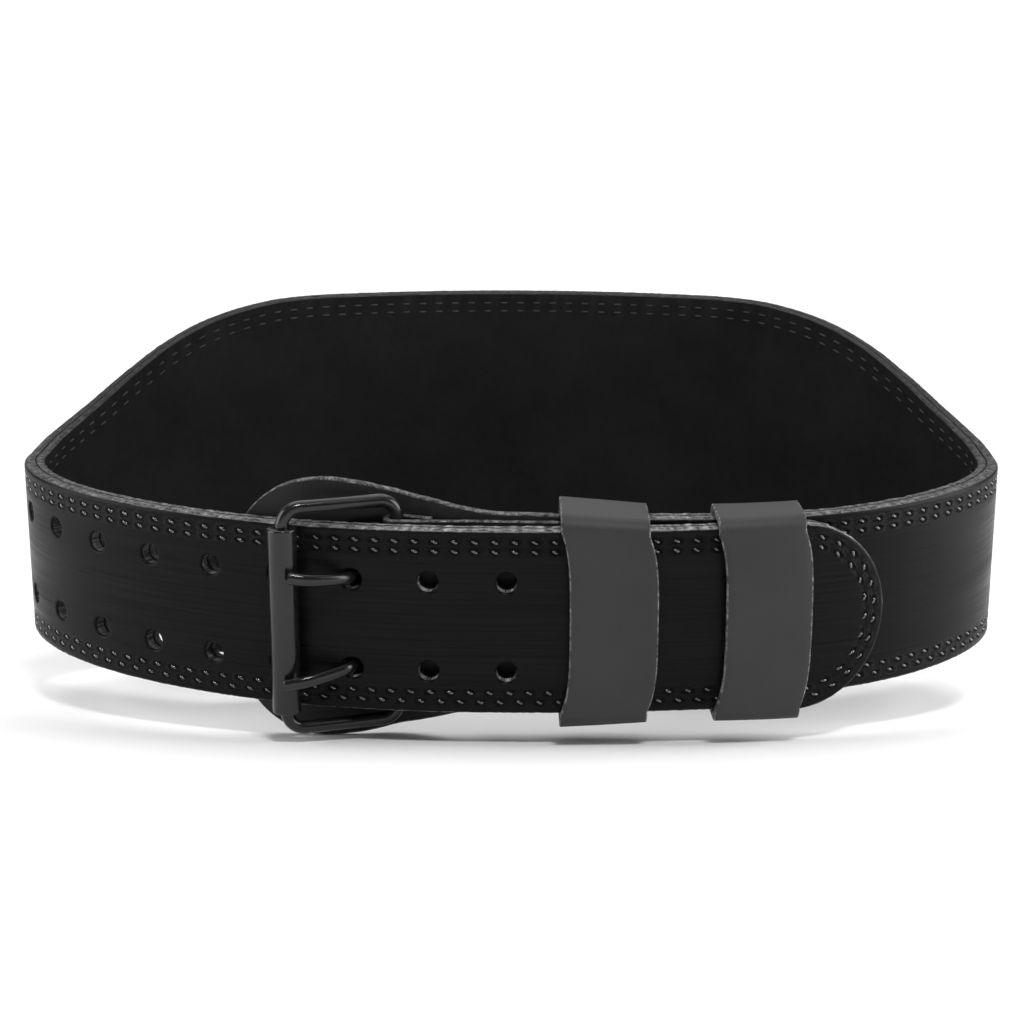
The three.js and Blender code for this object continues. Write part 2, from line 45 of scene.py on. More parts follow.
WIDTH_POWER, FRONT_POWER, BACK_POWER = 1.95, 1.79, 2.0
STRAP_HALF, BACK_HALF, TAPER_REACH, BACK_SHIFT = 32.0, 76.0, 222.0, 2.0
OUTER_PLY, LINING_PLY, PLY_GAP, FIT_GAP = 3.7, 3.2, 0.3, 0.35
THICKNESS = OUTER_PLY + PLY_GAP + LINING_PLY
TIP_AT, TIP_HALF, SWELL_REACH, BODY_END = 129.3, 33.0, 56.0, -12.0
HOLE_RADIUS, ROW_SPACING, ROW_DROP, ROW_TWIST = 3.5, 31.3, 1.5, 0.35
WIRE_RADIUS, FRAME_HALF, FRAME_CORNER = 2.25, 38.8, 6.4
ROLLER_AT, ROLLER_RADIUS, BAR_AT = -73.2, 4.85, -38.6
PRONG_WIDTH, PRONG_THICK, PRONG_SPLAY = 4.2, 3.0, 0.17
FOLD_THICK, FOLD_HALF, FOLD_END, FOLD_TUCK = 2.2, 32.5, 24.0, 12.0
GUARD_THICK, GUARD_HALF, GUARD_SEWN_HALF = 3.2, 46.0, 33.3
GUARD_WIDEST, GUARD_SEWN_END, GUARD_NOSE, NOSE_POWER, GUARD_DROOP = -64.5, 28.0, 37.0, 2.2, 2.0
KEEPER_WIDTH, KEEPER_THICK, KEEPER_CORNER, KEEPER_BULGE = 29.4, 2.5, 2.5, 1.5
FOLD_RADIUS = WIRE_RADIUS + FIT_GAP + FOLD_THICK / 2
EYE_RADIUS = WIRE_RADIUS + FIT_GAP + PRONG_THICK / 2
OVERLAP_INSET = THICKNESS + 2 * PLY_GAP + GUARD_THICK + FOLD_THICK + 4.8
STITCH_ROWS, STITCH_PITCH = (4.0, 7.3), 6.7

# How a stitch row pulls the face in: its groove's half width and depth, and the dents' depth
GROOVE_HALF, GROOVE_DEEP, DENT_DEEP = 0.75, 0.16, 0.4
# A punched hole's patch of grid: lines along the belt, and its reach either side of the middle
HOLE_LINES, HOLE_MARGIN = 12, 7
# Grid lines round the tip, rows from an edge to the middle, and a distance clear of all stitches
TIP_LINES, HALF_ROWS, CLEAR_INSET = 49, 9, 20.0

STRAP_LIFT = ((-0.9, 0), (-0.62, 0), (-0.33, -0.14), (0, -0.26), (0.28, -0.08), (0.5, 0.26),
              (0.8, 0.92), (1, 1.14))
BODY_INSET = ((-0.4, 0.93), (-0.1, 1), (0.2, 0.9), (0.42, 0.69), (0.52, 0.55), (0.66, 0.34),
              (0.82, 0.15), (1, 0.03), (1.15, 0))
BACK_RISE = ((0, 1), (0.35, 1), (0.43, 0.986), (0.505, 0.932), (0.577, 0.84), (0.653, 0.686),
             (0.734, 0.466), (0.824, 0.23), (0.91, 0.083), (1, 0))
GUARD_RISE = ((0, 1), (0.1, 0.93), (0.15, 0.87), (0.22, 0.75), (0.31, 0.6), (0.42, 0.43),
              (0.51, 0.27), (0.67, 0.1), (0.84, 0.08), (1, 0))
GUARD_DROP = ((0, 0.3), (0.1, 0.45), (0.15, 0.62), (0.22, 0.9), (0.31, 0.96), (0.42, 0.44),
              (0.51, 0.06), (0.67, 0), (1, 0))
KEEPERS = (("keeper_left", 34.8, 3.1, 1, (2.4, 0, 1.2, 0)),
           ("keeper_right", 88.2, 2.9, 3, (-0.2, 0, 0.4, 1.2)))
REST_TURN = np.array(Quaternion((0.9957264648, 0.0923443055, -0.0011561047, 0)).to_matrix())
REST_PLACE = np.array((0.0127, -4.8257, 60.3011))

# The camera that was fitted to the photo: its angles, its distance in millimetres, and its focal
# length and shift in pixels of the picture
CAMERA_RISE, CAMERA_YAW, CAMERA_DISTANCE = math.radians(17), math.radians(0.835), 821.0
PICTURE, FOCAL, SHIFT, SENSOR = 1024, 2203.0, (2.0, 28.7), 36.0
# Lights: name, place and target in metres, size in metres, power in watts
LIGHTS = (("top_light", (0, 0.15, 1.5), (0, 0, 0.05), (1.8, 1.2), 11),
          ("front_light", (0.25, -1.3, 1.5), (0, 0, 0.05), (0.4, 0.15), 19),
          ("left_light", (-1.0, -0.2, 0.32), (-0.1, 0, 0.07), (0.8, 0.9), 9),
          ("right_light", (1.0, -0.12, 0.32), (0.1, 0, 0.07), (0.75, 0.9), 12),
          ("wall_light", (0, 1.6, 2.6), (0, 3.4, 1.0), (3.0, 1.0), 85))
WORLD_STRENGTH = 0.16


def read_table(rows, at):
    """Smooth line through rows of x and y: cubic pieces, each row's slope the harmonic mean of
    the slopes beside it, level past the ends."""
    x, y = np.array(rows, float).T
    rise = np.diff(y) / np.diff(x)
    both = rise[:-1] * rise[1:] > 0
    total = np.where(both, rise[:-1] + rise[1:], 1)
    slope = np.zeros(len(x))
    slope[1:-1] = np.where(both, 2 * rise[:-1] * rise[1:] / total, 0)
    at = np.clip(at, x[0], x[-1])
    k = np.clip(np.searchsorted(x, at, side="right") - 1, 0, len(x) - 2)
    span = x[k + 1] - x[k]
    t = (at - x[k]) / span
    blend = t * t * (3 - 2 * t)
    pull = slope[k] * (t ** 3 - 2 * t * t + t) + slope[k + 1] * (t ** 3 - t * t)
    return y[k] * (1 - blend) + y[k + 1] * blend + span * pull


def smooth_step(t):
    t = np.clip(t, 0, 1)
    return t * t * (3 - 2 * t)


# The loop from above: x and y are signed powers of the cosine and sine of a turning angle
turn = np.linspace(-math.pi / 2, 1.5 * math.pi, 5761)
across, deep = np.cos(turn), np.sin(turn)
loop_x = np.sign(across) * LOOP_HALF_WIDTH * np.abs(across) ** (2 / WIDTH_POWER)
loop_y = (np.sign(deep) * np.where(deep < 0, LOOP_FRONT, LOOP_BACK)
          * np.abs(deep) ** (2 / np.where(deep < 0, FRONT_POWER, BACK_POWER)))
loop_run = np.concatenate([[0], np.cumsum(np.hypot(np.diff(loop_x), np.diff(loop_y)))])
GIRTH = loop_run[-1]
way_x, way_y = (np.roll(side[:-1], -9) - np.roll(side[:-1], 9) for side in (loop_x, loop_y))
way_long = np.hypot(way_x, way_y)
way_x, way_y = (np.append(way, way[0]) for way in (way_x / way_long, way_y / way_long))
TIP_START = GIRTH + TIP_AT - STRAP_HALF


def place(along, out, height):
    """Belt space to millimetres: the loop's point at a distance along it, moved out square to it
    and up to a height."""
    along, out, height = np.broadcast_arrays(along, out, height)
    run = np.mod(along, GIRTH)
    tx, ty = np.interp(run, loop_run, way_x), np.interp(run, loop_run, way_y)
    return np.stack([np.interp(run, loop_run, loop_x) + ty * out,
                     np.interp(run, loop_run, loop_y) - tx * out, height + 0.0 * run], -1)


def stand(points):
    """Millimetres in the loop's frame to metres on the floor."""
    return (np.asarray(points) @ REST_TURN.T + REST_PLACE) * 0.001


def strap_lift(along):
    return THICKNESS * read_table(STRAP_LIFT, np.asarray(along) / TIP_AT)


def body_inset(along):
    return OVERLAP_INSET * read_table(BODY_INSET, np.asarray(along) / TIP_AT)


def outer_face(along):
    return np.where(along < GIRTH / 2, -body_inset(along), strap_lift(along - GIRTH))


def tip_swell(along):
    """Growth of the half height towards the tip, by a smooth step."""
    share = (along - TIP_START - STRAP_HALF + SWELL_REACH) / (SWELL_REACH - STRAP_HALF)
    return (TIP_HALF - STRAP_HALF) * smooth_step(share)


def belt_half(along):
    """Half height before the tip's round end: the strap, the tall back and the tip's swell."""
    from_back = np.abs(along - GIRTH / 2 + BACK_SHIFT)
    rise = (BACK_HALF - STRAP_HALF) * read_table(BACK_RISE, from_back / TAPER_REACH)
    return STRAP_HALF + rise + tip_swell(along)


class Skin:
    """A closed skin gathered from grids of points in millimetres, welded where they meet."""

    def __init__(self):
        self.points, self.lays, self.faces, self.finishes, self.count = [], [], [], [], 0

    def patch(self, points, lay=None, finish=0, keep=None, ring=False):
        rows, columns = points.shape[:2]
        index = self.count + np.arange(rows * columns).reshape(rows, columns)
        if ring:
            index = np.hstack([index, index[:, :1]])
        quads = np.stack([index[:-1, :-1], index[1:, :-1], index[1:, 1:], index[:-1, 1:]], -1)
        quads = quads.reshape(-1, 4) if keep is None else quads[keep]
        self.faces += quads.tolist()
        self.finishes += [finish] * len(quads)
        self.points.append(points.reshape(-1, 3))
        self.lays.append(np.zeros((rows * columns, 4)) if lay is None
                         else np.stack(np.broadcast_arrays(*lay), -1).reshape(-1, 4))
        self.count += rows * columns

    def cap(self, ring, finish=0):
        self.faces.append(list(range(self.count, self.count + len(ring))))
        self.finishes.append(finish)
        self.points.append(ring)
        self.lays.append(np.zeros((len(ring), 4)))
        self.count += len(ring)

    def make(self, name, materials, replaces=(), sharp=40, change=None):
        mesh = bpy.data.meshes.new(name)
        mesh.from_pydata(stand(np.concatenate(self.points)).tolist(), [], self.faces)
        lay = mesh.attributes.new("belt_lay", "FLOAT_VECTOR", "POINT")
        lays = np.concatenate(self.lays).astype(np.float32) * 0.001
        lay.data.foreach_set("vector", lays[:, :3].ravel())
        run = mesh.attributes.new("stitch_run", "FLOAT", "POINT")
        run.data.foreach_set("value", np.ascontiguousarray(lays[:, 3]))
        mesh.polygons.foreach_set("material_index", np.array(self.finishes, np.int32))
        face_outward(mesh, change or weld)
        mesh.polygons.foreach_set("use_smooth", np.ones(len(mesh.polygons), bool))
        mesh.set_sharp_from_angle(angle=math.radians(sharp))
        piece = bpy.data.objects.new(name, mesh)
        bpy.context.scene.collection.objects.link(piece)
        for material in materials:
            mesh.materials.append(material)
        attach(piece, "root")
        if replaces:
            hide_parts(*replaces)
        return piece


def face_outward(mesh, change=None):
    """Runs a change on the mesh, if there is one, and turns all its faces outwards."""
    work = bmesh.new()
    work.from_mesh(mesh)
    if change:
        change(work)
    bmesh.ops.recalc_face_normals(work, faces=work.faces)
    work.to_mesh(mesh)
    work.free()


def weld(work):
    bmesh.ops.remove_doubles(work, verts=work.verts, dist=2e-6)


def fill_rim(work):
    """Fills the open rim that is left, if there is one, with the edge's finish."""
    rim = [edge for edge in work.edges if edge.is_boundary]
    if rim:
        made = bmesh.ops.holes_fill(work, edges=rim, sides=0)["faces"]
        for face in made:
            face.material_index = 1
        bmesh.ops.triangulate(work, faces=made)


# Camera and light
def aim(item, target):
    item.rotation_euler = (Vector(target) - item.location).to_track_quat("-Z", "Y").to_euler()


def add_camera():
    """The camera's place in the loop's frame, turned with the belt as it rests."""
    side, ahead = math.sin(CAMERA_YAW), math.cos(CAMERA_YAW)
    rise, level = math.sin(CAMERA_RISE), math.cos(CAMERA_RISE)
    spot = CAMERA_DISTANCE * np.array((side * level, -ahead * level, rise))
    right = REST_TURN @ np.array((ahead, side, 0))
    up = REST_TURN @ np.array((-side * rise, ahead * rise, level))
    lens = bpy.data.cameras.new("camera")
    lens.sensor_width, lens.lens = SENSOR, FOCAL * SENSOR / PICTURE
    lens.shift_x, lens.shift_y = SHIFT[0] / PICTURE, SHIFT[1] / PICTURE
    lens.clip_start, lens.clip_end = 0.05, 50
    camera = bpy.data.objects.new("camera", lens)
    camera.location = stand(spot)
    camera.rotation_mode = "QUATERNION"
    axes = np.stack([right, up, np.cross(right, up)], 1)
    camera.rotation_quaternion = Matrix(axes.tolist()).to_quaternion()
    bpy.context.scene.collection.objects.link(camera)
    bpy.context.scene.camera = camera


def add_light(name, spot, target, size, watts):
    light = bpy.data.lights.new(name, "AREA")
    light.shape, light.size, light.size_y, light.energy = "RECTANGLE", size[0], size[1], watts
    lamp = bpy.data.objects.new(name, light)
    lamp.location = spot
    aim(lamp, target)
    bpy.context.scene.collection.objects.link(lamp)


def new_material(name):
    material = bpy.data.materials.new(name)
    material.use_nodes = True
    tree = material.node_tree
    return material, tree, tree.nodes["Principled BSDF"]


def add_stage():
    """A pale floor that curves up behind into a wall: a quarter circle between two flats."""
    bend = np.linspace(0, math.pi / 2, 17)
    profile = [(-4.0, 0)] + [(2.6 + math.sin(a), 1 - math.cos(a)) for a in bend] + [(3.6, 4.0)]
    mesh = bpy.data.meshes.new("floor")
    corners = [(x, y, z) for y, z in profile for x in (-5, 5)]
    strips = [(k, k + 1, k + 3, k + 2) for k in range(0, 2 * len(profile) - 2, 2)]
    mesh.from_pydata(corners, [], strips)
    mesh.polygons.foreach_set("use_smooth", np.ones(len(mesh.polygons), bool))
    floor = bpy.data.objects.new("floor", mesh)
    bpy.context.scene.collection.objects.link(floor)
    material, tree, shader = new_material("pale_floor")
    shader.inputs["Base Color"].default_value = (0.86, 0.86, 0.86, 1)
    shader.inputs["Roughness"].default_value = 0.9
    shader.inputs["Specular IOR Level"].default_value = 0.1
    mesh.materials.append(material)
    world = bpy.data.worlds.new("studio")
    world.use_nodes = True
    world.node_tree.nodes["Background"].inputs["Color"].default_value = (1, 1, 1, 1)
    world.node_tree.nodes["Background"].inputs["Strength"].default_value = WORLD_STRENGTH
    bpy.context.scene.world = world
    bpy.context.scene.view_settings.view_transform = "Standard"
    for row in LIGHTS:
        add_light(*row)


# Finishes: shared effects are node groups
def new_group(name, outputs, inputs):
    group = bpy.data.node_groups.new(name, "ShaderNodeTree")
    for label, kind in outputs:
        group.interface.new_socket(label, in_out="OUTPUT", socket_type=kind)
    for label, kind, value in inputs:
        socket = group.interface.new_socket(label, in_out="INPUT", socket_type=kind)
        if value is not None:
            socket.default_value = value
    start, end = group.nodes.new("NodeGroupInput"), group.nodes.new("NodeGroupOutput")
    return group, start, end


def node(tree, kind, **settings):
    made = tree.nodes.new("ShaderNode" + kind)
    for key, value in settings.items():
        setattr(made, key, value)
    return made


def fill(made, **values):
    for key, value in values.items():
        made.inputs[key.replace("_", " ")].default_value = value
    return made


def noise(tree, scale, detail=4.0, rough=0.6):
    return fill(node(tree, "TexNoise"), Scale=scale, Detail=detail, Roughness=rough)


def stretch_range(tree, low, high, to_low, to_high):
    made = node(tree, "MapRange")
    ends = {"From Min": low, "From Max": high, "To Min": to_low, "To Max": to_high}
    for socket, value in ends.items():
        made.inputs[socket].default_value = value
    return made


def grain_group():
    """Fine grain: pebbles from Voronoi cells and noise, as a height, and a soft broad mottle."""
    tree, start, end = new_group(
        "leather_grain", (("Height", "NodeSocketFloat"), ("Mottle", "NodeSocketFloat")),
        (("Vector", "NodeSocketVector", None), ("Scale", "NodeSocketFloat", 900.0)))
    pebbles = node(tree, "TexVoronoi", feature="SMOOTH_F1")
    fine = noise(tree, 1500, 5, 0.7)
    broad = noise(tree, 28, 4, 0.6)
    for made in (pebbles, fine, broad):
        tree.links.new(start.outputs["Vector"], made.inputs["Vector"])
    tree.links.new(start.outputs["Scale"], pebbles.inputs["Scale"])
    mix = node(tree, "Math", operation="MULTIPLY_ADD")
    tree.links.new(fine.outputs["Fac"], mix.inputs[0])
    mix.inputs[1].default_value = 0.6
    tree.links.new(pebbles.outputs["Distance"], mix.inputs[2])
    tree.links.new(mix.outputs[0], end.inputs["Height"])
    tree.links.new(broad.outputs["Fac"], end.inputs["Mottle"])
    return tree


def fibre_group():
    """Cut leather fibre: hard specks from two noises multiplied, as a mask and a height."""
    tree, start, end = new_group(
        "cut_fibre", (("Specks", "NodeSocketFloat"), ("Height", "NodeSocketFloat")),
        (("Vector", "NodeSocketVector", None), ("Scale", "NodeSocketFloat", 1400.0)))
    fine = noise(tree, 1400, 3, 0.65)
    coarse = noise(tree, 420, 3, 0.6)
    for made in (fine, coarse):
        tree.links.new(start.outputs["Vector"], made.inputs["Vector"])
    tree.links.new(start.outputs["Scale"], fine.inputs["Scale"])
    both = node(tree, "Math", operation="MULTIPLY")
    tree.links.new(fine.outputs["Fac"], both.inputs[0])
    tree.links.new(coarse.outputs["Fac"], both.inputs[1])
    spread = stretch_range(tree, 0.2, 0.4, 0, 1)
    tree.links.new(both.outputs[0], spread.inputs["Value"])
    tree.links.new(spread.outputs["Result"], end.inputs["Specks"])
    tree.links.new(fine.outputs["Fac"], end.inputs["Height"])
    return tree


GRAIN, FIBRE = grain_group(), fibre_group()


def use_group(tree, group, source, scale):
    made = node(tree, "Group")
    made.node_tree = group
    tree.links.new(source, made.inputs["Vector"])
    made.inputs["Scale"].default_value = scale
    return made


def blend_colour(tree, mask, dark, light):
    ramp = node(tree, "ValToRGB")
    ramp.color_ramp.elements[0].color = (*dark, 1)
    ramp.color_ramp.elements[1].color = (*light, 1)
    tree.links.new(mask, ramp.inputs["Fac"])
    return ramp.outputs["Color"]


def relief(tree, height, distance, strength=1.0, base=None):
    bump = fill(node(tree, "Bump"), Strength=strength, Distance=distance)
    tree.links.new(height, bump.inputs["Height"])
    if base:
        tree.links.new(base, bump.inputs["Normal"])
    return bump.outputs["Normal"]


def drawn(tree, mask, low, high, to_low, to_high):
    spread = stretch_range(tree, low, high, to_low, to_high)
    tree.links.new(mask, spread.inputs["Value"])
    return spread.outputs["Result"]


def colour_by(tree, shader, mask, low, high, dark, light):
    """Base colour from dark to light, as a mask goes from low to high."""
    spread = drawn(tree, mask, low, high, 0, 1)
    tree.links.new(blend_colour(tree, spread, dark, light), shader.inputs["Base Color"])


def rough_by(tree, shader, mask, low, high, smooth, rough):
    """Roughness between two values, as a mask goes from low to high."""
    tree.links.new(drawn(tree, mask, low, high, smooth, rough), shader.inputs["Roughness"])


def belt_lay(tree):
    return node(tree, "Attribute", attribute_name="belt_lay").outputs["Vector"]


def object_place(tree):
    return node(tree, "TexCoord").outputs["Object"]


def sum_up(tree, operation, first, second=None, third=None):
    made = node(tree, "Math", operation=operation)
    for slot, value in enumerate((first, second, third)):
        if value is None:
            continue
        if isinstance(value, (int, float)):
            made.inputs[slot].default_value = value
        else:
            tree.links.new(value, made.inputs[slot])
    return made.outputs[0]


def punctures(tree, lay):
    """Awl holes of the two stitch rows: an ellipse round each stitch, from the run along the row
    modulo the pitch and the distance from the nearest row, ragged by a noise."""
    def reckon(*terms):
        return sum_up(tree, *terms)
    run = node(tree, "Attribute", attribute_name="stitch_run").outputs["Fac"]
    split = node(tree, "SeparateXYZ")
    tree.links.new(lay, split.inputs[0])
    pitch, middle = STITCH_PITCH * 0.001, sum(STITCH_ROWS) * 0.0005
    gap = (STITCH_ROWS[1] - STITCH_ROWS[0]) * 0.0005
    half_long, half_high = 0.0019, 0.00115
    turns = reckon("FRACT", reckon("DIVIDE", run, pitch))
    along = reckon("MULTIPLY", reckon("SUBTRACT", turns, 0.5), pitch / half_long)
    off = reckon("ABSOLUTE", reckon("SUBTRACT", split.outputs["Z"], middle))
    off = reckon("MULTIPLY", reckon("SUBTRACT", off, gap), 1 / half_high)
    square = reckon("MULTIPLY_ADD", along, along, reckon("MULTIPLY", off, off))
    ragged = noise(tree, 1100, 3, 0.7)
    tree.links.new(lay, ragged.inputs["Vector"])
    reach = reckon("MULTIPLY_ADD", ragged.outputs["Fac"], 1.3,
                   reckon("SUBTRACT", reckon("SQRT", square), 0.65))
    hole = drawn(tree, reach, 0.6, 1.0, 1, 0)
    rise = drawn(tree, reach, 0.55, 1.15, 0, 1)
    fall = drawn(tree, reach, 1.15, 1.9, 0, 0.35)
    return hole, reckon("SUBTRACT", rise, fall)


def stretched_noise(tree, lay, scale, detail, rough):
    """A noise drawn out along the belt: its lay is scaled more across than along."""
    stretch = fill(node(tree, "Mapping"), Scale=scale)
    tree.links.new(lay, stretch.inputs["Vector"])
    made = noise(tree, 1, detail, rough)
    tree.links.new(stretch.outputs["Vector"], made.inputs["Vector"])
    return made.outputs["Fac"]


def smooth_black_leather():
    """Glazed black hide: brush streaks that run along the belt, and a fine grain under them."""
    material, tree, shader = new_material("smooth_black_leather")
    lay = belt_lay(tree)
    streaks = stretched_noise(tree, lay, (14, 900, 0), 5, 0.62)
    cloud = stretched_noise(tree, lay, (9, 60, 0), 3, 0.5)
    grain = use_group(tree, GRAIN, lay, 1300)
    colour_by(tree, shader, streaks, 0.35, 0.7,
              (0.0012, 0.0012, 0.0012), (0.0058, 0.0058, 0.006))
    gloss = node(tree, "Math", operation="ADD")
    tree.links.new(drawn(tree, streaks, 0.3, 0.7, 0.22, 0.4), gloss.inputs[0])
    tree.links.new(drawn(tree, cloud, 0.35, 0.7, 0, 0.14), gloss.inputs[1])
    punch, lip = punctures(tree, lay)
    rough = node(tree, "Math", operation="MAXIMUM")
    tree.links.new(gloss.outputs[0], rough.inputs[0])
    tree.links.new(drawn(tree, punch, 0, 1, 0, 0.9), rough.inputs[1])
    tree.links.new(rough.outputs[0], shader.inputs["Roughness"])
    normal = relief(tree, streaks, 0.00008, 0.8)
    normal = relief(tree, grain.outputs["Height"], 0.00003, 0.5, normal)
    tree.links.new(relief(tree, lip, 0.0006, 1.0, normal), shader.inputs["Normal"])
    shader.inputs["Specular IOR Level"].default_value = 0.085
    return material


def cut_edge(name, dark, light, vector=object_place, scale=1400, depth=0.0006):
    """A raw cut through leather: dark and light specks of fibre with a rough relief."""
    material, tree, shader = new_material(name)
    fibre = use_group(tree, FIBRE, vector(tree), scale)
    specks = fibre.outputs["Specks"]
    colour_by(tree, shader, specks, 0, 1, (dark,) * 3, (light,) * 3)
    rough_by(tree, shader, specks, 0, 1, 0.85, 0.5)
    tree.links.new(relief(tree, fibre.outputs["Height"], depth, 0.9), shader.inputs["Normal"])
    return material


def edge_with_painted_shade(name, dark, light, scale, depth, near, far, shaded_share):
    """A cut edge of the belt darkened towards the tall back as painted shade: its colour is
    multiplied by a share that falls from one to the shaded share between two distances from the
    back's middle."""
    material = cut_edge(name, dark, light, belt_lay, scale, depth)
    tree = material.node_tree
    shader = tree.nodes["Principled BSDF"]
    split = node(tree, "SeparateXYZ")
    tree.links.new(belt_lay(tree), split.inputs[0])
    past = sum_up(tree, "SUBTRACT", split.outputs["X"], BACK_MIDDLE)
    away = sum_up(tree, "ABSOLUTE", past)
    # painted shade: the share that darkens the colour towards the tall back
    shade_share = drawn(tree, away, near, far, shaded_share, 1.0)
    mix = node(tree, "Mix", data_type="RGBA", blend_type="MULTIPLY")
    mix.inputs["Factor"].default_value = 1.0
    tree.links.new(shader.inputs["Base Color"].links[0].from_socket, mix.inputs[6])
    tree.links.new(shade_share, mix.inputs[7])
    tree.links.new(mix.outputs[2], shader.inputs["Base Color"])
    return material


def suede():
    """Napped black split: soft broad brushing over a fine nap."""
    material, tree, shader = new_material("black_suede")
    lay = belt_lay(tree)
    fibre = use_group(tree, FIBRE, lay, 2200)
    brushed = noise(tree, 22, 5, 0.65)
    tree.links.new(lay, brushed.inputs["Vector"])
    colour_by(tree, shader, brushed.outputs["Fac"], 0.35, 0.68,
              (0.0058, 0.0058, 0.0059), (0.0102, 0.0102, 0.0102))
    rough_by(tree, shader, fibre.outputs["Specks"], 0, 1, 0.98, 0.85)
    tree.links.new(relief(tree, fibre.outputs["Height"], 0.0003, 0.7), shader.inputs["Normal"])
    shader.inputs["Specular IOR Level"].default_value = 0.12
    return material


def plain_leather(name, dark, light, low, high, scale, depth, specular):
    """Matt or grained leather: pebbled relief with a soft mottle in its colour and gloss."""
    material, tree, shader = new_material(name)
    grain = use_group(tree, GRAIN, object_place(tree), scale)
    mottle = grain.outputs["Mottle"]
    colour_by(tree, shader, mottle, 0.35, 0.65, (dark,) * 3, (light,) * 3)
    rough_by(tree, shader, mottle, 0.3, 0.7, low, high)
    tree.links.new(relief(tree, grain.outputs["Height"], depth, 0.6), shader.inputs["Normal"])
    shader.inputs["Specular IOR Level"].default_value = specular
    return material


def black_metal():
    """Satin black plating: a faint orange-peel relief and rubbed patches."""
    material, tree, shader = new_material("black_metal")
    grain = use_group(tree, GRAIN, object_place(tree), 1600)
    mottle = grain.outputs["Mottle"]
    colour_by(tree, shader, mottle, 0.3, 0.7,
              (0.004, 0.004, 0.0042), (0.009, 0.009, 0.0094))
    rough_by(tree, shader, mottle, 0.3, 0.7, 0.15, 0.24)
    tree.links.new(relief(tree, grain.outputs["Height"], 0.00002, 0.4), shader.inputs["Normal"])
    shader.inputs["Specular IOR Level"].default_value = 0.4
    return material


# The middle of the back along the belt, in metres as the lay attribute has it
BACK_MIDDLE = GIRTH * 0.0005

add_camera()
add_stage()
SMOOTH, SUEDE, METAL = smooth_black_leather(), suede(), black_metal()
# The belt's cut edge: pale specks of fibre, darkened towards the tall back as painted shade
RAW_EDGE_PAINTED_SHADE = edge_with_painted_shade("raw_belt_edge_painted_shade", 0.01, 0.46, 3000, 0.0003, 0.18, 0.41, 0.04)
# The outer ply's hole walls: pale cut fibre, darkened in the holes nearer the tall back as painted
# shade
OUTER_WALL_PAINTED_SHADE = edge_with_painted_shade("outer_hole_wall_painted_shade", 0.02, 0.6, 2600, 0.0004,
                        BACK_MIDDLE - 0.085, BACK_MIDDLE - 0.06, 0.22)
# The lining's hole walls: a near-black copy of the pale cut edge, painted shade inside the holes
LINING_WALL_PAINTED_SHADE = cut_edge("hole_wall", 0.004, 0.03)
GUARD_EDGE = cut_edge("guard_edge", 0.01, 0.24, scale=2200)
MATT_EDGE = cut_edge("raw_keeper_edge", 0.015, 0.3, scale=2600)
GRAINED = plain_leather("grained_leather", 0.0085, 0.0135, 0.5, 0.62, 700, 0.00012, 0.25)
MATT = plain_leather("matt_keeper_leather", 0.021, 0.028, 0.5, 0.58, 2200, 0.00004, 0.26)
THREAD = plain_leather("waxed_thread", 0.014, 0.03, 0.14, 0.28, 2600, 0.00005, 1.0)
DULL_THREAD = plain_leather("dull_thread", 0.016, 0.034, 0.5, 0.7, 2600, 0.00005, 0.3)


# The belt's two plies
def edge_point(t, inset):
    """Place (along, height) at a distance inside the edge: along the top edge to the tip, round
    it (one radian for each unit of t) and back along the bottom edge."""
    angle = np.clip(t - TIP_START, 0, math.pi)
    along = np.where(t < TIP_START, t, 2 * TIP_START + math.pi - t)
    round_tip = (angle > 0) & (angle < math.pi)
    along = np.where(round_tip, TIP_START, along)
    slope = (belt_half(along + 0.5) - belt_half(along - 0.5))
    half = belt_half(along) - inset * np.sqrt(1 + slope ** 2)
    height = -tip_swell(along) + half * np.cos(angle)
    return along + np.where(round_tip, (STRAP_HALF - inset) * np.sin(angle), 0), height


def edge_run(inset):
    """Distance run along the edge, for each t of a fine list."""
    step, round_end, full = 0.5, TIP_START + math.pi, 2 * TIP_START + math.pi - BODY_END
    t = np.concatenate([np.arange(BODY_END, TIP_START, step),
                        TIP_START + np.linspace(0, math.pi, 121),
                        np.arange(round_end + step, full, step)])
    along, height = edge_point(t, inset)
    return t, np.concatenate([[0], np.cumsum(np.hypot(np.diff(along), np.diff(height)))])


EDGE_RUNS = [edge_run(inset) for inset in STITCH_ROWS]


def hole_middles():
    """Along and middle height of each pair of punched holes; their pitch shrinks a little
    towards the back."""
    steps = np.arange(9) - 2
    along = GIRTH - 52 - steps * (26.3 - 0.4 * (steps + 3) / 2)
    middle = -ROW_DROP + ROW_TWIST * np.maximum(0, steps)
    return along, middle


def dents(t, inset):
    """How far the stitches pull the face in: a groove under each row, deepest at each stitch."""
    deep = 0.0
    for row, (table, run) in zip(STITCH_ROWS, EDGE_RUNS):
        phase = 2 * math.pi * np.interp(t, table, run) / STITCH_PITCH
        dent = GROOVE_DEEP + DENT_DEEP * (0.5 - 0.5 * np.cos(phase))
        deep = deep + np.exp(-((inset - row) / GROOVE_HALF) ** 2) * dent
    return deep


def stitch_run(t, inset):
    """Distance run along the stitch row that is nearest to a place."""
    near, far = (np.interp(t, table, run) for table, run in EDGE_RUNS)
    return np.where(inset < sum(STITCH_ROWS) / 2, near, far)


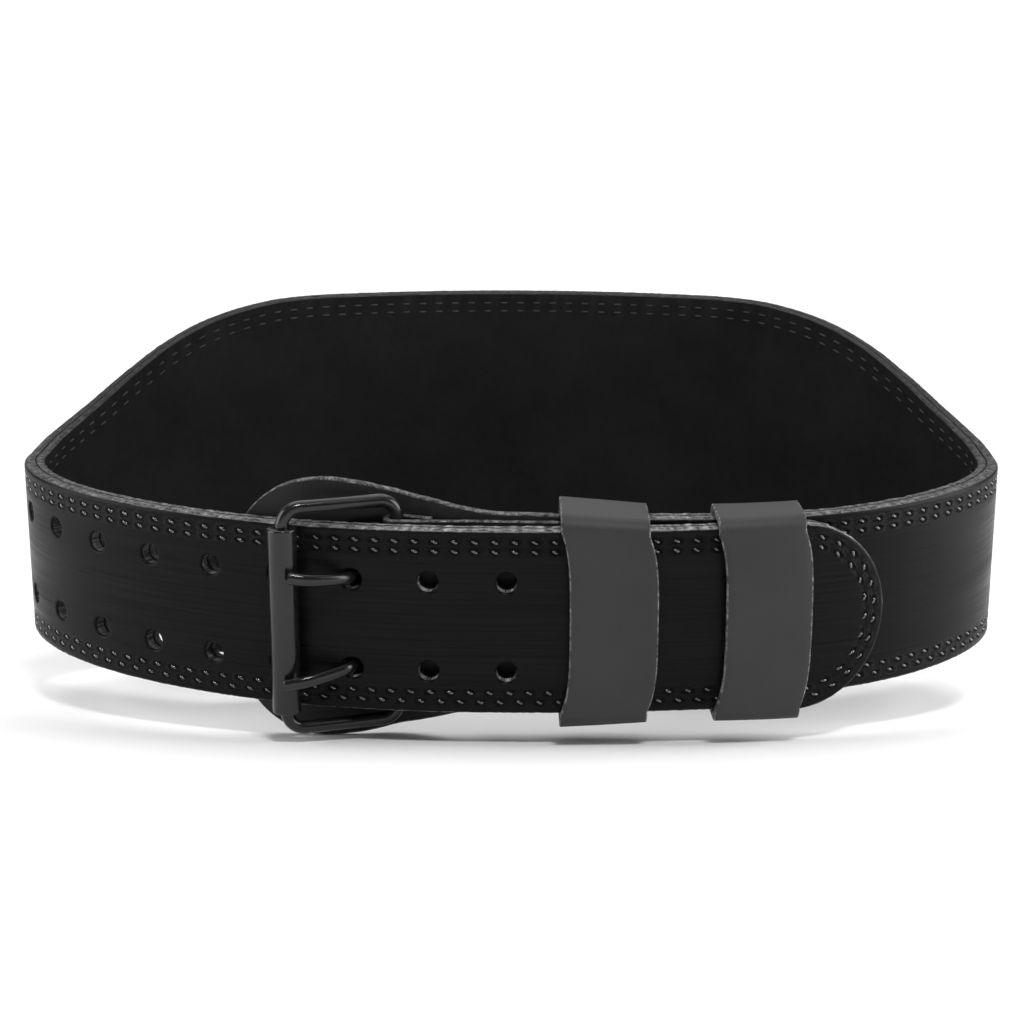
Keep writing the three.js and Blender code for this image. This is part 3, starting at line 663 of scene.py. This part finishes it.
def stations(step):
    """Places along the belt where its grid lines stand, a set number to each hole's patch, and
    the index of the line where each of those patches starts."""
    holes = np.sort(hole_middles()[0])
    stops = [BODY_END]
    marks = [(h - HOLE_MARGIN, h + HOLE_MARGIN) for h in holes] + [(TIP_START, None)]
    lines, blocks = [], []
    for start, end in marks:
        count = max(1, round((start - stops[-1]) / step))
        lines.append(np.linspace(stops[-1], start, count, endpoint=False))
        if end is not None:
            blocks.append(sum(len(part) for part in lines))
            lines.append(np.linspace(start, end, HOLE_LINES, endpoint=False))
            stops.append(end)
    return np.append(np.concatenate(lines), TIP_START), blocks


INNER_SHARES = np.array([1, 0.893, 0.787, 0.68, 0.573, 0.466, 0.356, 0.18, 0, -0.19, -0.382, -0.485,
                         -0.588, -0.691, -0.794, -0.897, -1])
HOLE_ROWS = ((0, 6), (10, 16))


def add_ply(name, node_name, face_out, thick, insets, bevel, step, dented, materials,
            edge_noise):
    """One ply: rows at set distances inside each edge, rows by shares between them, rings of
    rows round the tip, polar rings round each hole, and the cut edge as a rounded band."""
    columns, blocks = stations(step)
    far_side = 2 * TIP_START + math.pi - columns
    tip_angles = TIP_START + np.linspace(0, math.pi, TIP_LINES)
    skin = Skin()
    rng = np.random.default_rng(7)
    last = insets[-1]
    slope = belt_half(columns + 0.5) - belt_half(columns - 0.5)
    reach = belt_half(columns) - last * np.sqrt(1 + slope ** 2)
    heights = -tip_swell(columns)[:, None] + reach[:, None] * INNER_SHARES

    def face(along, height, inset, t, depth):
        pull = dents(t, inset) if dented and depth == 0 else 0.0
        out = face_out(along) - depth - pull
        return place(along, out, height), (along, height, inset, stitch_run(t, inset))

    for depth in (0.0, thick):
        rows = np.array(insets if depth == 0 else (bevel[-1][1], last))
        for t_list in (columns, tip_angles, far_side):
            t, inset = np.meshgrid(t_list, rows, indexing="ij")
            along, height = edge_point(t, inset)
            skin.patch(*face(along, height, inset, t, depth))
        keep = np.ones((len(columns) - 1, len(INNER_SHARES) - 1), bool)
        for block in blocks:
            for low, high in HOLE_ROWS:
                keep[block:block + HOLE_LINES, low:high] = False
        along = np.repeat(columns[:, None], len(INNER_SHARES), 1)
        inset = np.full_like(along, CLEAR_INSET)
        skin.patch(*face(along, heights, inset, along, depth), keep=keep)
        # between the two arcs of the tip, each share of the upper half meets its lower one
        angle = tip_angles[:, None] - TIP_START
        upper, lower = INNER_SHARES[:HALF_ROWS], -INNER_SHARES[::-1][:HALF_ROWS]
        middle, size = (upper - lower) / 2, (upper + lower) / 2
        along = TIP_START + (STRAP_HALF - last) * size * np.sin(angle)
        height = -(TIP_HALF - STRAP_HALF) + (TIP_HALF - last) * (middle + size * np.cos(angle))
        inset = np.full_like(along, CLEAR_INSET)
        skin.patch(*face(along, height, inset, along, depth))
    # cut edge, from the face's rim over a rounded corner to the back's rim
    edge_t = np.concatenate([columns, tip_angles[1:-1], far_side[::-1]])
    depths, tucks = np.array(bevel).T
    t, depth = np.meshgrid(edge_t, depths, indexing="ij")
    tuck = np.broadcast_to(tucks, t.shape)
    rough = rng.normal(0, edge_noise, t.shape)
    rough[:, (0, -1)] = 0
    along, height = edge_point(t, np.maximum(tuck + rough, -0.25))
    ends = [0, -1]
    along[ends], height[ends] = (part[ends] for part in edge_point(t, tuck))
    points = place(along, face_out(along) - depth, height)
    skin.patch(points[:, :3], (along[:, :3], height[:, :3], 0.0, 0.0))
    skin.patch(points[:, 2:], (along[:, 2:], depth[:, 2:], 0.0, 0.0), 1)
    # holes: rings from the patch's border to a rounded rim, the wall, and the back's rings
    radii = np.array((5.3, 4.6, 4.15, 3.95, 3.7, HOLE_RADIUS, HOLE_RADIUS, HOLE_RADIUS, 4.6))
    sinks = np.array((0, 0, 0, 0.03, 0.12, 0.35, 0.8, thick * 0.6, thick, thick, thick))
    hole_along, hole_middle = hole_middles()
    for block, hole in zip(blocks, np.argsort(hole_along)):
        for side, (low, high) in zip((1, -1), HOLE_ROWS):
            centre = np.array((hole_along[hole], hole_middle[hole] + side * ROW_SPACING / 2))
            far = block + HOLE_LINES
            border = np.array([(block, row) for row in range(low, high)]
                              + [(line, high) for line in range(block, far)]
                              + [(far, row) for row in range(high, low, -1)]
                              + [(line, low) for line in range(far, block, -1)])
            rim = np.stack([columns[border[:, 0]], heights[border[:, 0], border[:, 1]]], -1)
            spoke = rim - centre
            spoke /= np.linalg.norm(spoke, axis=1)[:, None]
            rings = np.concatenate([rim[None], centre + radii[:, None, None] * spoke, rim[None]])
            along, height = rings[..., 0], rings[..., 1]
            points = place(along, face_out(along) - sinks[:, None], height)
            # the wall takes the ply's third finish, whose colour carries painted shade
            for start, stop, finish in ((0, 7, 0), (6, 9, 2), (8, 11, 0)):
                lay = (along[start:stop], height[start:stop], CLEAR_INSET, 0.0)
                skin.patch(points[start:stop], lay, finish, ring=True)
    piece = skin.make(name, materials, (node_name,), sharp=50)
    face_outward(piece.data, fill_rim)


GLUED = 0.148
OUTER_INSETS = (1.4, 2.0, 2.7, 3.2, 3.6, 4.0, 4.4, 4.8, 5.4, 6.0, 6.5, 6.9, 7.3, 7.7, 8.2, 8.8, 9.5)
OUTER_BEVEL = ((0, 1.4), (0.12, 0.85), (0.4, 0.42), (0.85, 0.12), (1.5, 0), (2.4, 0), (3.1, 0),
               (OUTER_PLY + GLUED, 0))
LINING_INSETS = (0.0, 2.0, 4.0, 5.6, 7.3, 9.5)
LINING_BEVEL = ((0, 0), (0.2, 0), (0.6, 0), (1.3, 0), (2.1, 0), (2.8, 0.1),
                (LINING_PLY + GLUED, 0.5))


def lining_face(along):
    return outer_face(along) - OUTER_PLY - PLY_GAP + GLUED


add_ply("outer_leather", "belt_outer", outer_face, OUTER_PLY + GLUED, OUTER_INSETS, OUTER_BEVEL,
        1.1, True, (SMOOTH, RAW_EDGE_PAINTED_SHADE, OUTER_WALL_PAINTED_SHADE), 0.05)
add_ply("suede_lining", "belt_lining", lining_face, LINING_PLY + GLUED, LINING_INSETS,
        LINING_BEVEL, 2.2, False, (SUEDE, RAW_EDGE_PAINTED_SHADE, LINING_WALL_PAINTED_SHADE), 0.1)


# Stitches: small capsules of thread, half sunk, each leaning a little across its row
def add_stitches(name, thread, face_out, outward, length, lean, radius, lift):
    """Capsule: radius swells as the root of a sine from end to end, and its ends dip into the
    leather by a parabola; places run at an equal pitch along each row."""
    share = np.array((0.06, 0.3, 0.7, 0.94))
    side = np.arange(6)
    ring_x = np.repeat(share - 0.5, 6) * length
    ring_r = np.repeat(np.sqrt(np.sin(math.pi * share)), 6) * radius
    around = np.tile(side * math.pi / 3, 4)
    local = np.stack([ring_x, ring_r * np.cos(around), ring_r * np.sin(around)], -1)
    local = np.concatenate([local, [[-length / 2, 0, 0], [length / 2, 0, 0]]])
    local[:, 2] += lift - 1.5 * radius * (2 * local[:, 0] / length) ** 2
    after, first, last = (side + 1) % 6, np.full(6, 24), np.full(6, 25)
    quad = np.stack([side, after, 6 + after, 6 + side], -1)
    quads = np.concatenate([quad, quad + 6, quad + 12])
    fans = np.concatenate([np.stack([first, after, side], -1),
                           np.stack([last, 18 + side, 18 + after], -1)])
    rows = []
    for inset, (table, run) in zip(STITCH_ROWS, EDGE_RUNS):
        t = np.interp(np.arange(STITCH_PITCH * 0.5, run[-1], STITCH_PITCH), run, table)
        along, height = edge_point(t, np.full(len(t), inset))
        ahead, higher = edge_point(t + 0.02, np.full(len(t), inset))
        heading = np.arctan2(higher - height, ahead - along)
        rows.append(np.stack([along, height, heading - lean], -1))
    along, height, heading = np.concatenate(rows).T
    x, y, z = local.T
    cos, sin = np.cos(heading)[:, None], np.sin(heading)[:, None]
    all_along = along[:, None] + x * cos - y * sin
    all_height = height[:, None] + x * sin + y * cos
    points = place(all_along, face_out(along)[:, None] + outward * z, all_height)
    base = np.arange(len(along))[:, None, None] * len(local)
    skin = Skin()
    skin.points.append(points.reshape(-1, 3))
    skin.lays.append(np.zeros((points.shape[0] * points.shape[1], 4)))
    skin.faces = ((base + quads).reshape(-1, 4).tolist()
                  + (base + fans).reshape(-1, 3).tolist())
    skin.finishes = [0] * len(skin.faces)
    skin.make(name, (thread,), sharp=80, change=lambda work: None)


add_stitches("outer_stitches", THREAD, outer_face, 1, 3.5, 0.5, 0.6, -0.3)
add_stitches("lining_stitches", DULL_THREAD,
             lambda along: lining_face(along) - LINING_PLY - GLUED, -1, 4.2, 0.0, 0.36, 0.1)


# The buckle
def carry(points, section, reference, closed=False):
    """Rings of a flat section carried along a line; its first axis stays along the reference."""
    if closed:
        ways = np.roll(points, -1, 0) - np.roll(points, 1, 0)
    else:
        ways = np.gradient(points, axis=0)
    ways /= np.linalg.norm(ways, axis=1)[:, None]
    side = np.cross(ways, np.broadcast_to(reference, ways.shape))
    side /= np.linalg.norm(side, axis=1)[:, None]
    up = np.cross(side, ways)
    section = np.asarray(section)
    if section.ndim == 2:
        section = np.broadcast_to(section, (len(points), *section.shape))
    return points[:, None] + section[..., :1] * up[:, None] + section[..., 1:] * side[:, None]


def oval(first, second, sides):
    angle = 2 * math.pi * (np.arange(sides) + 0.5) / sides
    return np.stack([first * np.cos(angle), second * np.sin(angle)], -1)


roller_axis = place(ROLLER_AT, strap_lift(ROLLER_AT) + 0.8 + ROLLER_RADIUS, 0.0)
bar_out = float(strap_lift(BAR_AT) - THICKNESS - 0.9 - 2 * FOLD_RADIUS + WIRE_RADIUS + FIT_GAP)
bar_axis = place(BAR_AT, bar_out, 0.0)


def add_frame():
    """Round wire carried round a rectangle with round corners, upright through both bars."""
    span = bar_axis - roller_axis
    length = np.linalg.norm(span)
    span = span / length
    quarter = np.linspace(0, math.pi / 2, 13)
    far, high = length - FRAME_CORNER, FRAME_HALF - FRAME_CORNER
    middles = ((far, high), (FRAME_CORNER, high), (FRAME_CORNER, -high), (far, -high))
    turns = [quarter + k * math.pi / 2 for k in range(4)]
    flat = np.concatenate([middle + FRAME_CORNER * np.stack([np.cos(a), np.sin(a)], -1)
                           for middle, a in zip(middles, turns)])
    line = roller_axis + flat[:, :1] * span
    line[:, 2] = flat[:, 1]
    skin = Skin()
    rings = carry(line, oval(WIRE_RADIUS, WIRE_RADIUS, 24), np.array((span[1], -span[0], 0)), True)
    skin.patch(np.concatenate([rings, rings[:1]]), ring=True)
    skin.make("buckle_wire", (METAL,), ("buckle_frame",), sharp=60)


def add_roller():
    """A tube turned from its wall's profile, both ends rolled over."""
    half, inside, rim = FRAME_HALF - FRAME_CORNER, WIRE_RADIUS + FIT_GAP, 0.7
    bend = np.linspace(0, math.pi / 2, 6)
    top = [(ROLLER_RADIUS - rim + rim * math.cos(a), half - rim + rim * math.sin(a)) for a in bend]
    profile = np.array([(inside, -half), *[(r, -z) for r, z in top[::-1]],
                        *top, (inside, half), (inside, -half)])
    angle = np.linspace(0, 2 * math.pi, 64, endpoint=False)
    radius, height = profile[:, None, 0], profile[:, None, 1]
    points = np.stack([roller_axis[0] + radius * np.cos(angle),
                       roller_axis[1] + radius * np.sin(angle), height + 0 * angle], -1)
    skin = Skin()
    skin.patch(points, ring=True)
    skin.make("buckle_tube", (METAL,), ("buckle_roller",), sharp=50)


pinned_along = GIRTH - 52.0
pinned = place(pinned_along, outer_face(pinned_along) - THICKNESS / 2, 0.0)
outward = place(pinned_along, 1.0, 0.0) - place(pinned_along, 0.0, 0.0)
leftward = np.array((outward[1], -outward[0], 0.0))


def curve_through(knots, steps):
    """Centripetal curve through knots: its parameters grow with the root of the gaps, and each
    piece is blended three times, from straight lines to the curve."""
    ends = np.concatenate([[2 * knots[0] - knots[1]], knots, [2 * knots[-1] - knots[-2]]])
    gaps = np.sqrt(np.linalg.norm(np.diff(ends, axis=0), axis=1))
    runs = np.concatenate([[0], np.cumsum(gaps)])

    def mix(first, second, low, high, at):
        return (first * (runs[high] - at) + second * (at - runs[low])) / (runs[high] - runs[low])
    route = []
    for k in range(1, len(ends) - 2):
        at = np.linspace(runs[k], runs[k + 1], steps, endpoint=k == len(ends) - 3)[:, None]
        lines = [mix(ends[j], ends[j + 1], j, j + 1, at) for j in (k - 1, k, k + 1)]
        bows = [mix(lines[i], lines[i + 1], k - 1 + i, k + 1 + i, at) for i in (0, 1)]
        route.append(mix(*bows, k, k + 1, at))
    return np.concatenate(route)


def add_prong(name, side, short):
    """Oval wire carried round the bar, out through the punched hole and on to the roller; its
    tip is cut flat."""
    root = ROW_SPACING / 2 - PRONG_SPLAY * THICKNESS
    bar, roller = bar_axis - pinned, roller_axis - pinned
    bar_left, bar_outward = bar @ leftward, bar @ outward
    on_roller = roller @ outward + ROLLER_RADIUS + FIT_GAP + PRONG_THICK / 2
    angle = -1.5 * math.pi * (1 - np.arange(28) / 27)
    eye = np.stack([bar_left + EYE_RADIUS * np.cos(angle),
                    bar_outward + EYE_RADIUS * np.sin(angle), np.full(28, root)], -1)
    face, lean, row = THICKNESS / 2, 0.36, ROW_SPACING / 2
    tip = roller @ leftward - short
    knots = np.array((
        eye[-1],
        ((bar_left + EYE_RADIUS - lean * face) * 0.55, (bar_outward - face) * 0.62, root),
        (-lean * face, -face, row - PRONG_SPLAY * face * lean),
        (lean * face, face, row + PRONG_SPLAY * face * lean),
        (tip * 0.4, face + (on_roller - face) * 0.52, row + PRONG_SPLAY * tip * 0.4),
        (tip * 0.7, face + (on_roller - face) * 0.86, row + PRONG_SPLAY * tip * 0.7),
        (tip, on_roller, row + PRONG_SPLAY * tip)))
    line = np.concatenate([eye[:-1], curve_through(knots, 10)])
    points = pinned + line[:, :1] * leftward + line[:, 1:2] * outward
    points[:, 2] = side * line[:, 2] - ROW_DROP
    blunt = 0.86
    size = np.concatenate([[blunt], np.ones(len(points)), [blunt]])
    points = np.concatenate([points[:1], points, points[-1:]])
    points[0] += (points[2] - points[1]) * -0.04
    way = (points[-2] - points[-3]) / np.linalg.norm(points[-2] - points[-3])
    points[-1] = points[-2] + way * 0.3
    section = oval(PRONG_WIDTH / 2, PRONG_THICK / 2, 20)[None] * size[:, None, None]
    rings = carry(points, section, np.array((0, 0, 1.0)))
    skin = Skin()
    skin.patch(rings, ring=True)
    skin.cap(rings[0])
    skin.cap(rings[-1])
    skin.make(name + "_wire", (METAL,), (name,), sharp=38)


add_frame()
add_roller()
add_prong("prong_upper", 1, 4.0)
add_prong("prong_lower", -1, 1.8)


# Guard and fold
def guard_half(along):
    """Half height: a superellipse nose, then the table's rise over the sewn end's height."""
    nose = np.clip((GUARD_WIDEST - along) / GUARD_NOSE, 0, 1)
    share = (along - GUARD_WIDEST) / (GUARD_SEWN_END - GUARD_WIDEST)
    sewn = GUARD_SEWN_HALF + (GUARD_HALF - GUARD_SEWN_HALF) * read_table(GUARD_RISE, share)
    tip = GUARD_HALF * (1 - nose ** NOSE_POWER) ** (1 / NOSE_POWER)
    return np.where(along < GUARD_WIDEST, tip, sewn)


def guard_middle(along):
    share = (along - GUARD_WIDEST) / (GUARD_SEWN_END - GUARD_WIDEST)
    return -GUARD_DROOP * read_table(GUARD_DROP, share)


def on_body(along):
    return -body_inset(along) + PLY_GAP + GUARD_THICK


def guard_face(along):
    """The leaf's outer face: behind the strap, then behind the bar, then on the belt's face."""
    def behind(at):
        return float(strap_lift(at)) - THICKNESS - 2 * FIT_GAP
    nose = GUARD_WIDEST - GUARD_NOSE
    rows = ((nose, behind(nose)), (ROLLER_AT, behind(ROLLER_AT) - GUARD_THICK / 2),
            ((ROLLER_AT + BAR_AT) / 2, (behind(BAR_AT) + bar_out - EYE_RADIUS) / 2),
            (BAR_AT, bar_out - EYE_RADIUS - PRONG_THICK / 2 - FIT_GAP),
            (BODY_END - GUARD_THICK, float(on_body(BODY_END))))
    return np.where(along > BODY_END, on_body(along), read_table(rows, along))


def add_guard():
    """A flat leaf: its outline's half height swept along the belt, the rims softly rounded."""
    bend = np.linspace(0.497 * math.pi, 0, 40, endpoint=False)
    nose = GUARD_WIDEST - GUARD_NOSE * np.sin(bend)
    along = np.concatenate([nose, np.arange(GUARD_WIDEST, GUARD_SEWN_END, 1.3), [GUARD_SEWN_END]])
    half, middle, out = guard_half(along), guard_middle(along), guard_face(along)
    shares = np.sin(np.linspace(-math.pi / 2, math.pi / 2, 25))
    rim = np.array(((0.6, 0), (0.2, 0.15), (0, 0.6), (0, 1.6), (0, GUARD_THICK - 0.6),
                    (0.2, GUARD_THICK - 0.15), (0.6, GUARD_THICK)))
    tuck = np.minimum(rim[:, 0][None], half[:, None] / 3)
    reach = half - tuck[:, 0]
    front = middle[:, None] + reach[:, None] * shares
    skin = Skin()
    a = along[:, None]
    skin.patch(place(a, out[:, None], front))
    skin.patch(place(a, out[:, None] - GUARD_THICK, front))
    for side in (1, -1):
        height = middle[:, None] + side * (half[:, None] - tuck)
        skin.patch(place(a, out[:, None] - rim[:, 1], height), finish=1)
    leaf = skin.make("guard_leaf", (GRAINED, GUARD_EDGE), ("buckle_guard",), 45)
    face_outward(leaf.data, fill_rim)


def add_fold():
    """A strap's section carried from its sewn end round the bar and back under, with a window
    of cells left out for each prong and walls set round it."""
    def on_guard(at):
        return guard_face(np.asarray(at, float)) + PLY_GAP + FOLD_THICK / 2
    leaf = np.linspace(FOLD_END, BODY_END, 30)
    outer = place(leaf, on_guard(leaf), 0.0)
    start = place(BAR_AT, bar_out + FOLD_RADIUS, 0.0) - bar_axis
    angle = -np.linspace(0, math.pi, 25)
    cos, sin = np.cos(angle), np.sin(angle)
    bend = bar_axis + np.stack([start[0] * cos - start[1] * sin,
                                start[0] * sin + start[1] * cos, 0 * angle], -1)
    link = outer[-1:] + (bend[:1] - outer[-1:]) * np.linspace(0, 1, 14)[1:-1, None]
    stop = BAR_AT + FOLD_TUCK
    tail = place(stop, float(on_guard(stop)) + FIT_GAP, 0.0)[None]
    inner = bend[-1:] + (tail - bend[-1:]) * np.linspace(0, 1, 9)[1:, None]
    line = np.concatenate([outer, link, bend, inner])
    slot_half = EYE_RADIUS + PRONG_THICK
    root = ROW_SPACING / 2 - PRONG_SPLAY * THICKNESS
    high = PRONG_WIDTH / 2 + FIT_GAP
    edges = [-FOLD_HALF]
    for middle in (-root - ROW_DROP, root - ROW_DROP):
        edges += [middle - high, middle + high]
    edges.append(FOLD_HALF)
    parts = [np.linspace(low, top, count, endpoint=False)
             for low, top, count in zip(edges, edges[1:], (8, 3, 10, 3, 8))]
    heights = np.concatenate(parts + [[FOLD_HALF]])
    windows = ((8, 11), (21, 24))
    near = np.abs(line[:, 0] - bar_axis[0]) < slot_half
    first, last = np.flatnonzero(near)[[0, -1]]
    ways = np.gradient(line, axis=0)
    ways /= np.linalg.norm(ways, axis=1)[:, None]
    side = np.stack([ways[:, 1], -ways[:, 0], 0 * ways[:, 0]], -1)
    keep = np.ones((len(line) - 1, len(heights) - 1), bool)
    for low, top in windows:
        keep[first:last, low:top] = False

    def skin_at(offset, rows, tops):
        points = np.repeat((line[rows] + side[rows] * offset)[:, None], len(tops), 1)
        points[..., 2] = tops
        return points
    every = np.arange(len(line))
    skin = Skin()
    half = FOLD_THICK / 2
    inset = heights.copy()
    inset[[0, -1]] = -FOLD_HALF + 0.4, FOLD_HALF - 0.4
    for offset in (-half, half):
        skin.patch(skin_at(offset, every, inset), keep=keep)
    for end in (-1, 1):
        rim = np.array(((-half, 0.4), (-half * 0.6, 0), (half * 0.6, 0), (half, 0.4)))
        lines = [skin_at(offset, every, np.array([end * (FOLD_HALF - tuck)]))[:, 0]
                 for offset, tuck in rim]
        skin.patch(np.stack(lines, 1), finish=1)
    for low, top in windows:
        run = np.arange(first, last + 1)
        walls = [(run, np.full(len(run), heights[low])), (run, np.full(len(run), heights[top]))]
        walls += [(np.full(top - low + 1, row), heights[low:top + 1]) for row in (first, last)]
        for rows, tops in walls:
            wall = np.stack([line[rows] + side[rows] * o for o in (-half, half)], 1)
            wall[..., 2] = tops[:, None]
            skin.patch(wall, finish=1)
    fold = skin.make("fold_leather", (GRAINED, GUARD_EDGE), ("buckle_fold",), 45)
    face_outward(fold.data, fill_rim)


# Keepers
def add_keeper(name, at, bow, turned, room):
    """A band round both layers: flat sides joined by round corners, its front bulged and bowed,
    carried as a ring of sections across its width."""
    over_left, over_right, under_left, under_right = room
    clearance = FIT_GAP + KEEPER_CORNER * 0.3
    angle = math.radians(turned)
    along_belt = np.array((math.cos(angle), math.sin(angle), 0))
    out_of_belt = np.array((math.sin(angle), -math.cos(angle), 0))
    centre = place(at, -body_inset(at) - THICKNESS / 2, 0.0)

    def face_distance(offset, face_out):
        along = at + offset
        for _ in range(6):
            point = place(along, face_out(along), 0.0) - centre
            along = along + offset - point @ along_belt
        return point @ out_of_belt
    quarter = np.linspace(0, math.pi / 2, 9)
    front = np.linspace(-1, 1, 31)[1:-1]
    back = np.linspace(1, -1, 21)[1:-1]
    # each stop round the band: in front or behind, its share of the half height, its turn
    stops = np.concatenate([
        [(1, -1, a - math.pi / 2) for a in quarter], [(1, top, 0) for top in front],
        [(1, 1, a) for a in quarter], [(0, 1, a + math.pi / 2) for a in quarter],
        [(0, top, math.pi) for top in back], [(0, -1, a + math.pi) for a in quarter]])
    soft, half = 0.45, KEEPER_WIDTH / 2
    run = np.linspace(-half + soft, half - soft, 13)
    face, nick = KEEPER_THICK, 0.12
    section = np.array([*[(x, 0) for x in run], (half - 0.1, 0.15), (half, soft),
                        (half, face - soft), (half - nick, face - nick),
                        *[(x, face) for x in run[::-1]], (nick - half, face - nick),
                        (-half, face - soft), (-half, soft), (0.1 - half, 0.15)])
    in_front, top, swing = (part[:, None] for part in stops.T)
    offset, thick = section[None, :, 0], section[None, :, 1]
    across = 0.5 + offset / KEEPER_WIDTH
    slack = np.where(top > 0, over_left + (over_right - over_left) * across,
                     under_left + (under_right - under_left) * across)
    flat_half = STRAP_HALF + clearance + slack - KEEPER_CORNER
    swell, shift = in_front * (1 - top ** 2), in_front * bow * (1 - top ** 4)
    outside = face_distance(offset + shift, strap_lift) + clearance + KEEPER_BULGE * swell
    inside = face_distance(offset + 0 * shift,
                           lambda along: -body_inset(along) - THICKNESS) - clearance
    radius = KEEPER_CORNER + thick
    middle = np.where(in_front > 0, outside - KEEPER_CORNER, inside + KEEPER_CORNER)
    points = (centre + (offset + shift)[..., None] * along_belt
              + (middle + radius * np.cos(swing))[..., None] * out_of_belt)
    points[..., 2] = top * flat_half + radius * np.sin(swing)
    points = np.concatenate([points, points[:1]])
    flat, edge = 13, 4
    skin = Skin()
    skin.patch(points[:, :flat])
    skin.patch(points[:, flat - 1:flat + edge + 1], finish=1)
    skin.patch(points[:, flat + edge:2 * flat + edge])
    left = np.concatenate([points[:, 2 * flat + edge - 1:], points[:, :1]], 1)
    skin.patch(left, finish=1)
    skin.make(name + "_band", (MATT, MATT_EDGE), (name,), sharp=50)


add_guard()
add_fold()
for keeper in KEEPERS:
    add_keeper(*keeper)
